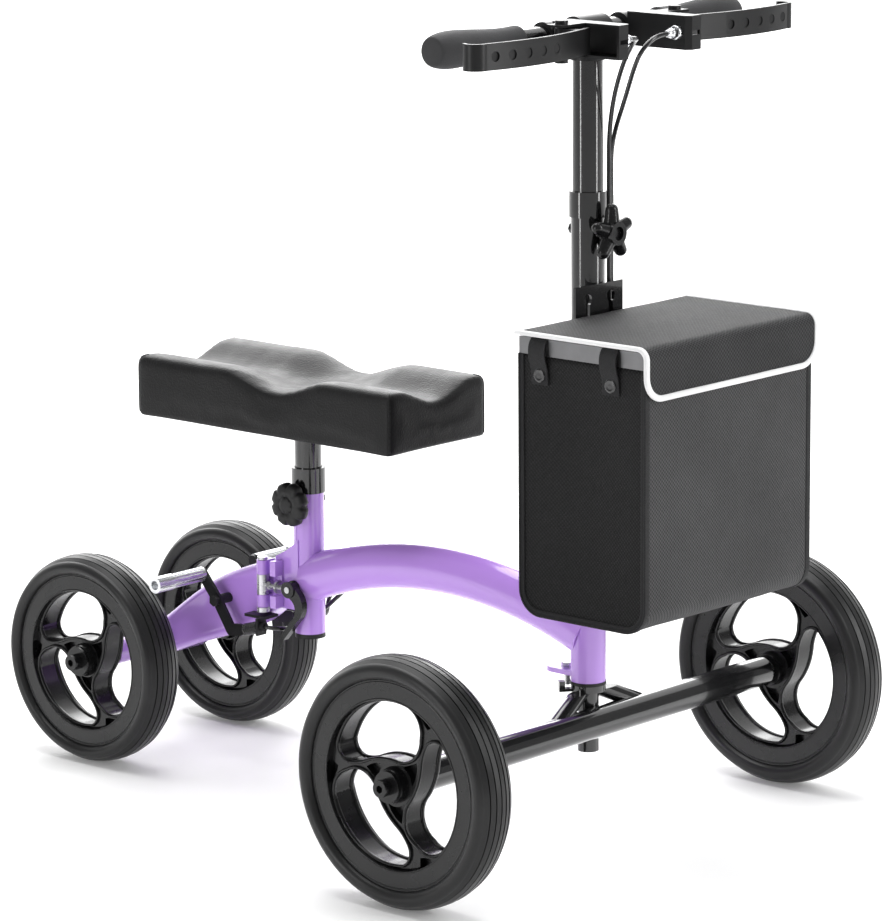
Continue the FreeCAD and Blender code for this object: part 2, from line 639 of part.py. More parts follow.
basket = padded("YZ_Plane", "basket_width", side_profile(0, 26, top))
pocketed(basket, "YZ_Plane", "basket_width - 2 * basket_wall", side_profile(3, 23, top + 1))
node("basket_fabric", place(basket, ("basket_middle_x", 0, 0)))
BASKET_SIDE = "basket_middle_x - basket_width / 2"
rim_outer = box("basket_width", "basket_depth", 17, (BASKET_SIDE, front, "basket_top - 18"))
rim_inner = box("basket_width - 5", "basket_depth - 5", 17,
                (f"{BASKET_SIDE} + 2.5", front + 2.5, "basket_top - 18"))
node("basket_rim", cut(rim_outer, rim_inner))
hooks = []
for x in HOOK_XS:
    hooks.append(fuse(cylinder(2.9, 9.8, (x, rear, 541), "y"), cylinder(4.8, 1.1, (x, rear + 9.4, 541), "y")))
node("basket_hooks", group(*hooks))
lid_side = f"{BASKET_SIDE} - 7"
lid_top = box("basket_width + 14", "basket_depth + 5", "lid_thickness", (lid_side, front - 5.5, "basket_top"))
lid_hem = cylinder("lid_thickness / 2", "basket_width + 14",
                   (lid_side, rear - 0.5, "basket_top + lid_thickness / 2"), "x")
flap = box("basket_width - 10", 3.5, "flap_height",
           (f"{BASKET_SIDE} + 5", front - 5.5, "basket_top - flap_height + 1"))
node("basket_lid", fuse(lid_top, lid_hem, flap))

# ---------------------------------------------------------------- rear frame

NECK_SECTIONS = ((151.4, 36, 184, 238), (185, 42, 158, 226), (225, 46, 140, 210), (270, 50, 124, 184),
                 (312, 52, 107, 153), (356, 52, 100, 129))


def neck_section(y, width, low, high):
    """A rounded rectangle standing across the neck."""
    corner = 11
    face = Part.makePlane(width, high - low, Vector(-width / 2, y, low), Vector(0, -1, 0), X)
    solid = face.extrude(Vector(0, 1, 0))
    upright = [edge for edge in solid.Edges if edge.BoundBox.YLength > 0.5]
    rounded = solid.makeFillet(corner, upright)
    return min(rounded.Faces, key=lambda item: item.CenterOfMass.y).OuterWire


neck_shell = formed(Part.makeLoft([neck_section(*section) for section in NECK_SECTIONS], True, False))
LATCH = ("latch_pin_x", "fold_pin_y + 23")
FOLD = ("fold_pin_x", "fold_pin_y + 13")
latch_lugs = [fuse(cylinder(6.5, height, (*LATCH, level)),
                   box(13, 12, height, ("latch_pin_x", "fold_pin_y + 17", level)))
              for level, height in ((184, 13.7), (220.3, 15.7))]
knuckle = fuse(cylinder(6.2, 18.6, (*FOLD, 202.7)),
               box(9, 13, 18.6, ("fold_pin_x - 9", "fold_pin_y + 13", 202.7)))
BRAKE_PIVOT = ("rear_axle_y - 122", 185)
lug_room = [fuse(cylinder(7.2, 19.4, (*FOLD, level)),
                 box(9, 9, 19.4, ("fold_pin_x - 9.4", "fold_pin_y + 12", level)))
            for level in (183.3, 221.3)]
front_room = box(30, 14, 19.4, ("fold_pin_x - 9.5", "fold_pin_y + 5", 202.3))
REAR_AXLE = ("rear_axle_y", "rear_tyre_radius")
hollowed = cut(neck_shell, *lug_room, front_room,
               cylinder("rear_axle_tube_radius", 90, ("-45", *REAR_AXLE), "x"))
node("rear_neck", cut(fuse(hollowed, *latch_lugs, knuckle), cylinder(3, 80, (*LATCH, 180)),
                      cylinder("fold_pin_radius", 60, (*FOLD, 190)),
                      cylinder(5.5, 60, ("-30", *BRAKE_PIVOT), "x")))
node("rear_axle_tube", cut(cylinder("rear_axle_tube_radius", 164, ("-82", *REAR_AXLE), "x"),
                           cylinder("axle_bolt_radius", 164, ("-82", *REAR_AXLE), "x"),
                           cylinder("rear_axle_tube_radius - 3", 128, ("-64", *REAR_AXLE), "x")))
node("latch_pin", fuse(cylinder(2.95, 58, (*LATCH, 181)), cylinder(7, 5, (*LATCH, 178.6)),
                       cylinder(5.5, 3, (*LATCH, 236.3))))

eye = cylinder(6.5, 22, (*LATCH, 198))
rod = cylinder(3, 38, ("latch_pin_x", "fold_pin_y + 17.2", 209), "-y")
rod_nut = hexagon(5, 4.5, ("latch_pin_x", "fold_pin_y + 9.5", 209), "y")
cross_pin = cylinder(3.5, 12.5, ("latch_pin_x - 6.5", "fold_pin_y - 18", 209), "x")
washer = cylinder(7.5, 3, ("latch_pin_x", "fold_pin_y + 0.7", 209), "-y")
node("latch_rod", cut(fuse(eye, rod, rod_nut, cross_pin, washer), cylinder(3.01, 30, (*LATCH, 194))))


def cam_lever():
    """The quick-release lever: a round cam on the cross pin and a tapered handle bowed forward and down."""
    cam = Part.makeCylinder(9, 11, Vector(-5.5, 0, 0), X)
    bow = [Vector(-4, -6, 3), Vector(-4, -20, -14), Vector(-4, -12, -34), Vector(-4, 8, -57)]
    back = [Vector(-4, 14, -55), Vector(-4, -3, -34), Vector(-4, -9, -18), Vector(-4, 1, -8.6)]
    edges = [Part.Arc(bow[0], bow[1], bow[2]), Part.LineSegment(bow[2], bow[3]),
             Part.LineSegment(bow[3], back[0]), Part.LineSegment(back[0], back[1]),
             Part.Arc(back[1], back[2], back[3]), Part.LineSegment(back[3], bow[0])]
    handle = Part.Face(Part.Wire([edge.toShape() for edge in edges])).extrude(Vector(8, 0, 0))
    slot = Part.makeBox(7.2, 30, 30, Vector(-3.6, -4.4, -4.4))
    return cam.fuse(handle).cut(Part.makeCylinder(3.56, 30, Vector(-15, 0, 0), X)).cut(slot).removeSplitter()


node("latch_lever", formed(cam_lever(), Vector(size("latch_pin_x"), size("fold_pin_y") - 18, 209)))

# ---------------------------------------------------------------- rear brakes

pivot_y = size("rear_axle_y") - 122
ARM_PATH = ((22, 26), (0, 0), (-20, -30), (-34, -28))
ROLLER_AT = ARM_PATH[0]
ARM_INNER = 38.5
ARM_THICKNESS = 3.5


def brake_arm():
    """A bent flat strip beside the neck: roller end above, cable foot below."""
    shape = None
    for start, end in zip(ARM_PATH, ARM_PATH[1:]):
        first = Vector(0, *start)
        run = Vector(0, *end) - first
        angle = math.degrees(math.atan2(run.z, run.y))
        strip = Part.makeBox(ARM_THICKNESS, run.Length, 13, Vector(0, 0, -6.5))
        strip.rotate(Vector(), X, angle)
        strip.translate(first)
        strip = strip.fuse([Part.makeCylinder(6.5, ARM_THICKNESS, first, X),
                            Part.makeCylinder(6.5, ARM_THICKNESS, first + run, X)])
        shape = strip if shape is None else shape.fuse(strip)
    return shape.cut(Part.makeCylinder(3.06, ARM_THICKNESS, Vector(), X)).removeSplitter()


def roller():
    """A fluted brake bar with a stepped end."""
    shape = Part.makeCylinder(8, 48, Vector(), X).fuse(Part.makeCylinder(8.8, 24, Vector(48, 0, 0), X))
    for index in range(12):
        angle = math.pi * index / 6
        rim = Vector(0, math.cos(angle), math.sin(angle)) * 8.7
        shape = shape.cut(Part.makeCylinder(1.3, 44, rim + Vector(3, 0, 0), X))
    return shape.cut(Part.makeCylinder(5, 8, Vector(64, 0, 0), X)).removeSplitter()


def beside(shape, side):
    """Puts a piece drawn for the left side at the brake pivot, or its mirror image on the right."""
    placed = shape.copy()
    placed.translate(Vector(0, pivot_y, 185))
    return formed(placed if side > 0 else placed.mirror(Vector(), X))


arm = brake_arm()
arm.translate(Vector(ARM_INNER, 0, 0))
bar = roller()
bar.translate(Vector(ARM_INNER + ARM_THICKNESS, *ROLLER_AT))
spring_start = Vector(ARM_INNER + 1.5, -60.4, -21.1)
spring_run = Vector(0, 18.7, -5.4)
spring = Part.makeCylinder(6, spring_run.Length, spring_start, spring_run).cut(
    Part.makeCylinder(4.2, spring_run.Length, spring_start, spring_run))
for side, name in ((-1, "right"), (1, "left")):
    node(f"brake_arm_{name}", beside(arm, side))
    node(f"brake_roller_{name}", beside(bar, side))
    node(f"brake_spring_{name}", beside(spring, side))

pivot_bolt = fuse(cylinder(2.99, 88, ("-44", *BRAKE_PIVOT), "x"),
                  tube(5.5, 2.99, 22, ("16.2", *BRAKE_PIVOT), "x"),
                  tube(5.5, 2.99, 22, ("-38.2", *BRAKE_PIVOT), "x"),
                  hexagon(6.3, 5, ("42.3", *BRAKE_PIVOT), "x"),
                  hexagon(6.3, 5, ("-42.3", *BRAKE_PIVOT), "-x"))
ear = fuse(box(22, 30, 3, ("14", "fold_pin_y + 13", 172)), box(14, 3, 19, ("33", "fold_pin_y + 13", 156)))
ear = cut(ear, cylinder(3, 10, ("40", "fold_pin_y + 10", 165.6), "y"), neck_shell)
ferrule = tube(5, 2.6, 6, ("40", "fold_pin_y + 8.3", 165.6), "y")
node("brake_mounts", group(pivot_bolt, mirror_pair(fuse(ear, ferrule))))

# ---------------------------------------------------------------- cables

CABLE_RADIUS = 2.4


def cable(*points):
    """A cable housing along straight runs joined by arcs as large as the runs allow."""
    points = [Vector(*point) for point in points]
    edges = []
    here = points[0]
    last = len(points) - 2
    for index in range(1, last + 1):
        before, corner, after = points[index - 1:index + 2]
        back = (before - corner).normalize()
        ahead = (after - corner).normalize()
        trim = min((before - corner).Length * (0.7 if index == 1 else 0.45),
                   (after - corner).Length * (0.65 if index == last else 0.45))
        turn = math.pi - back.getAngle(ahead)
        radius = trim / math.tan(turn / 2)
        middle = (back + ahead).normalize()
        via = corner + middle * (radius / math.cos(turn / 2) - radius)
        bend_end = corner + ahead * trim
        edges += [Part.LineSegment(here, corner + back * trim), Part.Arc(corner + back * trim, via, bend_end)]
        here = bend_end
    edges.append(Part.LineSegment(here, points[-1]))
    path = Part.Wire([edge.toShape() for edge in edges])
    start = Part.Wire([Part.Circle(points[0], points[1] - points[0], CABLE_RADIUS).toShape()])
    return formed(path.makePipeShell([start], True, False))


node("bar_cables", group(
    cable((-31, -350, 834), (-17, -350, 834), (-4, -335, 829), (7, -312, 805), (15, -293, 768), (20, -283, 730),
          (20, -283, 690)),
    cable((31, -350, 834), (14, -350, 834), (-1, -347, 825), (-7, -340, 810), (10, -312, 768), (24, -288, 735),
          (26, -281, 712), (26, -281, 690))))
node("neck_cables", group(
    cable((20, -283, 690), (20, -283, 470), (24, -282, 390), (33, -265, 335), (35, -240, 290), (32, -216, 262),
          (24, -196, 246)),
    cable((26, -281, 690), (26, -281, 480), (30, -279, 400), (40, -262, 345), (43, -235, 300), (38, -205, 268),
          (24.5, -183, 250))))


def arch_cable(x, start_y, end_y):
    """A cable inside the arch, below its middle line."""
    points = []
    steps = 6
    for index in range(steps + 1):
        y = start_y + (end_y - start_y) * index / steps
        drop = math.sqrt((arch_radius - 4) ** 2 - (y - arch_middle.y) ** 2)
        points.append((x, y, arch_middle.z + drop))
    return cable(*points)


node("frame_cables", group(arch_cable(8, -190, 70), arch_cable(14, -178, 78)))
node("rear_cables", group(
    cable((24.5, 70, 219), (21, 92, 200), (19.5, 112, 182), (20, 128, 172), (12, 142, 166), (-4, 141, 160),
          (-40, 129, 165.6), (-40, 152, 165.6)),
    cable((25.5, 82, 229), (26, 98, 213), (22.5, 112, 192), (30, 120, 175), (40, 134, 165.6), (40, 152, 165.6))))

# ---------------------------------------------------------------- check and write

doc.recompute()
faults = [item.Label for item in doc.Objects if "Invalid" in item.State or "Error" in item.State]
for part in EXPORTED:
    shape = part.Shape
    if shape.isNull() or not shape.isValid() or not shape.Solids:
        faults.append(part.Label)
if faults:
    raise RuntimeError(f"failed objects: {faults}")

os.makedirs("parts", exist_ok=True)
for part in EXPORTED:
    part.Shape.exportStep(f"parts/{part.Label}.step")
print(len(EXPORTED), "sub-parts written")
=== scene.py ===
import bpy
import bmesh
import json
import math
import numpy as np
from mathutils import Euler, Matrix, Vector, noise
from mathutils.bvhtree import BVHTree


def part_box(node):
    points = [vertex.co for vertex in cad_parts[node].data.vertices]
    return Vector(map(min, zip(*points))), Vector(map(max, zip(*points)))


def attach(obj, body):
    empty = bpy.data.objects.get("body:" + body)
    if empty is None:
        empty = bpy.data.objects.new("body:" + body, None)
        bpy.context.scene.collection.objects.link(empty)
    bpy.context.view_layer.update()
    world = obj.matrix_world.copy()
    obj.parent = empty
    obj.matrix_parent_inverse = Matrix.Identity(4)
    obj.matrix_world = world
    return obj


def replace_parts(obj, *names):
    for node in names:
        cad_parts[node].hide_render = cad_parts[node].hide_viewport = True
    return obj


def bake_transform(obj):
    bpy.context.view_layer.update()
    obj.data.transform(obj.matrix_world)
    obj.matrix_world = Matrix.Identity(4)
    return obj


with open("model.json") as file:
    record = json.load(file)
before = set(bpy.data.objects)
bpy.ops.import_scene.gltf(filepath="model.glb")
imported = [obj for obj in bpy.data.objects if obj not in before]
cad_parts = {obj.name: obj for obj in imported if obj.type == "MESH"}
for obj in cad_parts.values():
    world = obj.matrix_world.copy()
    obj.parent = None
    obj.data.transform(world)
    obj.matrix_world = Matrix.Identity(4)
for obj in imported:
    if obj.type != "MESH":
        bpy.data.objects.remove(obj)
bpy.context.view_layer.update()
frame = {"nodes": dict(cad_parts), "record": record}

NODES = frame["nodes"]
scene = bpy.context.scene

# ------------------------------------------------------------------ camera, floor and light

camera_data = bpy.data.cameras.new("camera")
camera_data.lens = 178.985
camera_data.clip_end = 40
camera = bpy.data.objects.new("camera", camera_data)
camera.location = (-3.50119, -3.18225, 1.33477)
camera.rotation_euler = Euler((1.3678810, 0.0070169, -0.8472149))
scene.collection.objects.link(camera)
scene.camera = camera


def area_light(name, place, target, size, power, colour=(1, 1, 1)):
    data = bpy.data.lights.new(name, "AREA")
    data.shape = "RECTANGLE"
    data.size, data.size_y = size
    data.energy = power
    data.color = colour
    lamp = bpy.data.objects.new(name, data)
    lamp.location = place
    lamp.rotation_euler = (Vector(target) - Vector(place)).to_track_quat("-Z", "Y").to_euler()
    scene.collection.objects.link(lamp)
    return lamp


MIDDLE = (0, 0, 0.4)
area_light("key", (0.9, -3.2, 2.3), MIDDLE, (1.2, 2.0), 36)
area_light("top", (0.1, 0.3, 2.7), MIDDLE, (2.0, 2.2), 66)
area_light("strip_front", (1.0, -2.7, 0.95), MIDDLE, (0.32, 1.8), 20)
area_light("strip_side", (-2.9, 0.5, 0.95), MIDDLE, (0.32, 1.8), 20)
area_light("rim", (2.4, 2.3, 2.1), MIDDLE, (3.0, 1.6), 75)

world = bpy.data.worlds.new("studio")
world.use_nodes = True
world.node_tree.nodes["Background"].inputs["Color"].default_value = (1, 1, 1, 1)
world.node_tree.nodes["Background"].inputs["Strength"].default_value = 0.3
scene.world = world
scene.view_settings.view_transform = "Standard"

# ------------------------------------------------------------------ materials


class Shader:
    """A Principled material whose colour, roughness and relief come from noise in the object's own space."""

    def __init__(self, name, colour, roughness, metallic=0.0, coat=0.0, sheen=0.0, specular=0.5):
        self.material = bpy.data.materials.new(name)
        self.material.use_nodes = True
        self.tree = self.material.node_tree
        self.main = self.tree.nodes["Principled BSDF"]
        self.colour = colour
        self.main.inputs["Base Color"].default_value = (*colour, 1)
        self.main.inputs["Roughness"].default_value = roughness
        self.main.inputs["Metallic"].default_value = metallic
        self.main.inputs["Coat Weight"].default_value = coat
        self.main.inputs["Coat Roughness"].default_value = 0.06
        self.main.inputs["Sheen Weight"].default_value = sheen
        self.main.inputs["Sheen Roughness"].default_value = 0.45
        self.main.inputs["Specular IOR Level"].default_value = specular
        self.roughness = roughness
        self.space = self.tree.nodes.new("ShaderNodeTexCoord").outputs["Object"]
        self.relief = None

    def node(self, kind, **settings):
        made = self.tree.nodes.new("ShaderNode" + kind)
        for key, value in settings.items():
            if key in made.inputs:
                made.inputs[key].default_value = value
            else:
                setattr(made, key, value)
        return made

    def link(self, source, target):
        self.tree.links.new(source, target)
        return target

    def stretched(self, scale):
        mapping = self.node("Mapping")
        mapping.inputs["Scale"].default_value = scale
        self.link(self.space, mapping.inputs["Vector"])
        return mapping.outputs["Vector"]

    def noise(self, scale, detail=3.0, space=None):
        made = self.node("TexNoise", Scale=scale, Detail=detail)
        self.link(space or self.space, made.inputs["Vector"])
        return made.outputs["Fac"]

    def ranged(self, value, low, high, from_low=0.3, from_high=0.7):
        made = self.node("MapRange")
        made.inputs["From Min"].default_value = from_low
        made.inputs["From Max"].default_value = from_high
        made.inputs["To Min"].default_value = low
        made.inputs["To Max"].default_value = high
        self.link(value, made.inputs["Value"])
        return made.outputs["Result"]

    def tint(self, value, other):
        """Blends from the base colour to another by a value from 0 to 1."""
        mix = self.node("Mix", data_type="RGBA")
        self.link(value, mix.inputs["Factor"])
        current = self.main.inputs["Base Color"]
        if current.is_linked:
            self.link(current.links[0].from_socket, mix.inputs[6])
        else:
            mix.inputs[6].default_value = (*self.colour, 1)
        mix.inputs[7].default_value = (*other, 1)
        self.link(mix.outputs[2], self.main.inputs["Base Color"])
        return self

    def uneven(self, scale, spread=0.06, detail=4.0):
        """Uneven gloss."""
        self.link(self.ranged(self.noise(scale, detail), self.roughness - spread, self.roughness + spread),
                  self.main.inputs["Roughness"])
        return self

    def bump(self, height, distance, strength=1.0):
        made = self.node("Bump")
        made.inputs["Distance"].default_value = distance
        made.inputs["Strength"].default_value = strength
        self.link(height, made.inputs["Height"])
        if self.relief is not None:
            self.link(self.relief, made.inputs["Normal"])
        self.relief = made.outputs["Normal"]
        self.link(self.relief, self.main.inputs["Normal"])
        return self


def paint(name, colour, darker, roughness=0.2, coat=0.7, specular=0.5):
    shader = Shader(name, colour, roughness, coat=coat, specular=specular)
    shader.uneven(22, 0.015)
    shader.tint(shader.ranged(shader.noise(9, 4), 0, 0.3), darker)
    shader.bump(shader.noise(520, 2), 0.0004, 0.12)
    return shader.material


def plastic(name, colour, roughness, coat, depth, lighter):
    shader = Shader(name, colour, roughness, coat=coat, specular=0.3)
    shader.uneven(38, 0.04)
    shader.tint(shader.ranged(shader.noise(14, 5), 0, 0.5), lighter)
    shader.bump(shader.noise(900, 2), depth, 0.25)
    return shader.material


def metal(name, colour, roughness, brushing=(30, 30, 600)):
    shader = Shader(name, colour, roughness, metallic=1.0)
    lines = shader.noise(1.0, 2, shader.stretched(brushing))
    shader.link(shader.ranged(lines, roughness - 0.08, roughness + 0.1), shader.main.inputs["Roughness"])
    shader.tint(shader.ranged(shader.noise(60, 5), 0, 0.4), tuple(0.72 * c for c in colour))
    shader.bump(lines, 0.0003, 0.2)
    return shader.material


def rubber(name, colour, roughness, scale, depth, lighter):
    shader = Shader(name, colour, roughness, sheen=0.02, specular=0.3)
    shader.uneven(30, 0.06)
    shader.tint(shader.ranged(shader.noise(26, 6), 0, 0.6), lighter)
    shader.bump(shader.noise(scale, 3), depth, 0.4)
    return shader.material


def leather(name, colour, pit_shade):
    """Fine-grained upholstery vinyl: closed cells of grain over a faint unevenness, with painted shade
    darkening the pits of the grain.
    """
    shader = Shader(name, colour, 0.42, specular=0.2)
    cells = shader.node("TexVoronoi", Scale=620.0)
    cells.feature = "SMOOTH_F1"
    shader.link(shader.space, cells.inputs["Vector"])
    # painted shade: the grain's pits, the low places of its bump, are tinted towards the darker colour
    shader.tint(shader.ranged(cells.outputs["Distance"], 0.5, 0.0, 0.15, 0.7), pit_shade)
    shader.tint(shader.ranged(shader.noise(18, 5), 0, 0.3), tuple(1.35 * c for c in colour))
    shader.uneven(40, 0.06)
    shader.bump(shader.noise(30, 3), 0.0012, 0.12)
    shader.bump(cells.outputs["Distance"], 0.0006, 0.55)
    return shader.material


def weave(name, dark, light, pitch, across, up, depth=0.0006, roughness=0.72):
    """Cloth of over-and-under threads; across and up pick the directions that its threads run in."""
    shader = Shader(name, dark, roughness, sheen=0.06, specular=0.22)
    split = shader.node("SeparateXYZ")
    shader.link(shader.space, split.inputs[0])

    def along(weights):
        total = None
        for axis, weight in zip("XYZ", weights):
            if weight == 0:
                continue
            scaled = shader.node("Math", operation="MULTIPLY")
            shader.link(split.outputs[axis], scaled.inputs[0])
            scaled.inputs[1].default_value = weight * 2 * math.pi / pitch
            if total is None:
                total = scaled.outputs[0]
            else:
                added = shader.node("Math", operation="ADD")
                shader.link(total, added.inputs[0])
                shader.link(scaled.outputs[0], added.inputs[1])
                total = added.outputs[0]
        wave = shader.node("Math", operation="SINE")
        shader.link(total, wave.inputs[0])
        return wave.outputs[0]
    both = shader.node("Math", operation="MULTIPLY")
    shader.link(along(across), both.inputs[0])
    shader.link(along(up), both.inputs[1])
    thread = shader.ranged(both.outputs[0], 0, 1, -0.9, 0.9)
    shader.tint(thread, light)
    shader.tint(shader.ranged(shader.noise(11, 5), 0, 0.35), tuple(0.6 * c for c in dark))
    shader.uneven(300, 0.06)
    shader.bump(thread, depth, 0.8)
    shader.bump(shader.noise(1600, 2), 0.0002, 0.3)
    return shader.material


def wood(name, colour, grain):
    shader = Shader(name, colour, 0.6)
    lines = shader.noise(1.0, 6, shader.stretched((60, 6, 200)))
    shader.tint(shader.ranged(lines, 0, 1), grain)
    shader.uneven(50, 0.08)
    shader.bump(lines, 0.0005, 0.3)
    return shader.material


ACROSS = (1, 0, 0)
ALL_ROUND = (1, 1, 0)
UP = (0, 0, 1)
OVER_LID = (0, 1, 1)

MATERIALS = {
    "purple_paint": paint("purple_paint", (0.50, 0.27, 0.80), (0.46, 0.24, 0.76), 0.2),
    "black_paint": paint("black_paint", (0.008, 0.008, 0.0085), (0.005, 0.005, 0.0055), 0.15),
    "black_satin": paint("black_satin", (0.011, 0.011, 0.0115), (0.008, 0.008, 0.0085), 0.38, 0.0, 0.3),
    "bright_steel": metal("bright_steel", (0.62, 0.62, 0.64), 0.3),
    "bright_alloy": metal("bright_alloy", (0.78, 0.79, 0.81), 0.24),
    "black_plastic_gloss": plastic("black_plastic_gloss", (0.006, 0.006, 0.0064), 0.26, 0.15, 0.0002,
                                   (0.008, 0.008, 0.0085)),
    "black_plastic": plastic("black_plastic", (0.012, 0.012, 0.0125), 0.46, 0.0, 0.0004,
                             (0.018, 0.018, 0.0185)),
    "tyre_rubber": rubber("tyre_rubber", (0.013, 0.013, 0.0135), 0.36, 700, 0.0002, (0.018, 0.018, 0.0185)),
    "grip_foam": rubber("grip_foam", (0.03, 0.03, 0.0315), 0.7, 900, 0.0008, (0.048, 0.048, 0.05)),
    "cable_sheath": plastic("cable_sheath", (0.014, 0.014, 0.015), 0.2, 0.5, 0.0002, (0.02, 0.02, 0.021)),
    # the second colour is the painted shade in the pad's grain pits
    "pad_leather": leather("pad_leather", (0.009, 0.009, 0.0094), (0.004, 0.004, 0.0043)),
    "basket_cloth": weave("basket_cloth", (0.016, 0.016, 0.017), (0.09, 0.09, 0.092), 0.0042, ALL_ROUND, UP),
    # the basket's side panels: the basket cloth made darker, painted shade for the sides turned away from
    # the key light
    "shaded_side_cloth": weave("shaded_side_cloth", (0.006, 0.006, 0.0063), (0.014, 0.014, 0.0145), 0.0042, ALL_ROUND, UP),
    "lid_cloth": weave("lid_cloth", (0.011, 0.011, 0.0117), (0.045, 0.045, 0.047), 0.0046, ACROSS, OVER_LID),
    "tape": weave("tape", (0.012, 0.012, 0.013), (0.028, 0.028, 0.029), 0.0016, ALL_ROUND, UP, 0.0003),
    "white_tape": weave("white_tape", (0.86, 0.86, 0.87), (0.95, 0.95, 0.95), 0.0014, ALL_ROUND, OVER_LID,
                        0.0002, 0.6),
    "rim_band": metal("rim_band", (0.2, 0.2, 0.205), 0.42, (400, 30, 30)),
    "seat_board": wood("seat_board", (0.03, 0.027, 0.025), (0.012, 0.01, 0.009)),
}

SMOOTH_ANGLE = math.radians(32)


def soften(obj, width, segments=2, angle=30):
    """Rounds a piece's hard edges."""
    bevel = obj.modifiers.new("Edges", "BEVEL")
    bevel.width = width
    bevel.segments = segments
    bevel.limit_method = "ANGLE"
    bevel.angle_limit = math.radians(angle)
    bevel.harden_normals = True
    bevel.miter_outer = "MITER_ARC"


BEVELS = {
    "hinge_block": 0.0012, "rear_neck": 0.001, "brake_perches": 0.0012, "bar_clamp": 0.001,
    "stem_knob": 0.0016, "seat_knob": 0.0022, "basket_bracket": 0.0005, "brake_lever_right": 0.0006,
    "brake_lever_left": 0.0006, "crown_ring": 0.0006, "stem_collar": 0.0008, "seat_collar": 0.0008,
    "latch_lever": 0.0014, "brake_arm_right": 0.0006, "brake_arm_left": 0.0006, "head_tube": 0.0006,
    "seat_tube": 0.0004, "seat_tube_plug": 0.0008, "front_axle_bolts": 0.0007, "rear_axle_bolts": 0.0007,
    "basket_rim": 0.0008, "axle_beam": 0.0006, "headset_cups": 0.0005, "latch_pin": 0.0008,
    "front_wheel_right": 0.0011, "front_wheel_left": 0.0011, "rear_wheel_right": 0.001,
    "rear_wheel_left": 0.001,
    "brake_mounts": 0.0005, "latch_rod": 0.0005, "stop_bolt": 0.0005,
}
REPAINTED = {
    "front_axle_bolts": "black_plastic_gloss", "rear_axle_bolts": "black_plastic_gloss",
    "hinge_pin": "black_paint",
    "brake_mounts": "black_plastic", "brake_perches": "black_satin", "brake_arm_right": "black_satin",
    "brake_arm_left": "black_satin", "brake_lever_right": "black_satin", "brake_lever_left": "black_satin",
    "bar_clamp": "black_satin",
}


def dressed(obj, look):
    """Gives a piece its material."""
    obj.data.materials.clear()
    obj.data.materials.append(MATERIALS[look])
    return obj


SLOT_OF = {row["node"]: row["material_slot"] for row in frame["record"]["subparts"]}
for name, obj in NODES.items():
    dressed(obj, REPAINTED.get(name, SLOT_OF[name]))
    for polygon in obj.data.polygons:
        polygon.use_smooth = True
    if name in BEVELS:
        soften(obj, BEVELS[name])
    else:
        split = obj.modifiers.new("Sharp", "EDGE_SPLIT")
        split.split_angle = SMOOTH_ANGLE

# ------------------------------------------------------------------ making pieces


def piece(name, vertices, faces, look, body, slot=None):
    mesh = bpy.data.meshes.new(name)
    mesh.from_pydata([tuple(v) for v in vertices], [], faces)
    mesh.validate()
    for polygon in mesh.polygons:
        polygon.use_smooth = True
    obj = bpy.data.objects.new(name, mesh)
    scene.collection.objects.link(obj)
    made = bmesh.new()
    made.from_mesh(mesh)
    bmesh.ops.recalc_face_normals(made, faces=made.faces)
    made.to_mesh(mesh)
    made.free()
    dressed(obj, look)
    if body:
        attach(obj, body)
    return obj


def lofted(rings, closed=True, capped=True):
    """Vertices and faces joining rings of the same count; closed joins each ring's ends."""
    count = len(rings[0])
    vertices = [point for ring in rings for point in ring]
    faces = []
    for i in range(len(rings) - 1):
        for j in range(count if closed else count - 1):
            k = (j + 1) % count
            faces.append((i * count + j, i * count + k, (i + 1) * count + k, (i + 1) * count + j))
    if capped and closed:
        faces.append(tuple(range(count)))
        faces.append(tuple(range((len(rings) - 1) * count, len(rings) * count)))
    return vertices, faces


def frame_of(direction):
    d = Vector(direction).normalized()
    side = d.orthogonal().normalized()
    return d, side, d.cross(side)


def lathe(name, origin, axis, profile, look, body, segments=48, slot=None, twist=None):
    """A turned piece: profile is (distance along the axis, radius)."""
    d, a, b = frame_of(axis)
    origin = Vector(origin)
    rings = []
    for along, radius in profile:
        ring = []
        for k in range(segments):
            t = 2 * math.pi * k / segments
            r = radius * (twist(along, t) if twist else 1)
            ring.append(origin + d * along + (a * math.cos(t) + b * math.sin(t)) * r)
        rings.append(ring)
    return piece(name, *lofted(rings), look, body, slot)


def swept(points, normals, section):
    """Rings of a section of (out, along) points carried along a path; out follows each point's normal."""
    rings = []
    count = len(points)
    for i, (point, normal) in enumerate(zip(points, normals)):
        ahead = (points[min(i + 1, count - 1)] - points[max(i - 1, 0)]).normalized()
        side = ahead.cross(normal).normalized()
        rings.append([point + normal * out + side * over for out, over in section])
    return rings


def rounded_section(thickness, width, corner=0.4, steps=3):
    """A flat rounded section, thickness out of the surface and width along it, centred."""
    radius = corner * thickness
    points = []
    for cx, cy, start in ((1, 1, 0), (-1, 1, 90), (-1, -1, 180), (1, -1, 270)):
        for k in range(steps + 1):
            t = math.radians(start + 90 * k / steps)
            points.append((cx * (thickness / 2 - radius) + radius * math.cos(t),
                           cy * (width / 2 - radius) + radius * math.sin(t)))
    return points


def smooth_line(points, per_run=10, order=3):
    """Points along the NURBS spline of a route."""
    curve = bpy.data.curves.new("route", "CURVE")
    curve.dimensions = "3D"
    spline = curve.splines.new("NURBS")
    spline.points.add(len(points) - 1)
    for target, point in zip(spline.points, points):
        target.co = (*point, 1)
    spline.order_u = order
    spline.use_endpoint_u = True
    spline.resolution_u = per_run
    holder = bpy.data.objects.new("route", curve)
    mesh = bpy.data.meshes.new_from_object(holder)
    line = [v.co.copy() for v in mesh.vertices]
    bpy.data.meshes.remove(mesh)
    bpy.data.objects.remove(holder)
    bpy.data.curves.remove(curve)
    return line


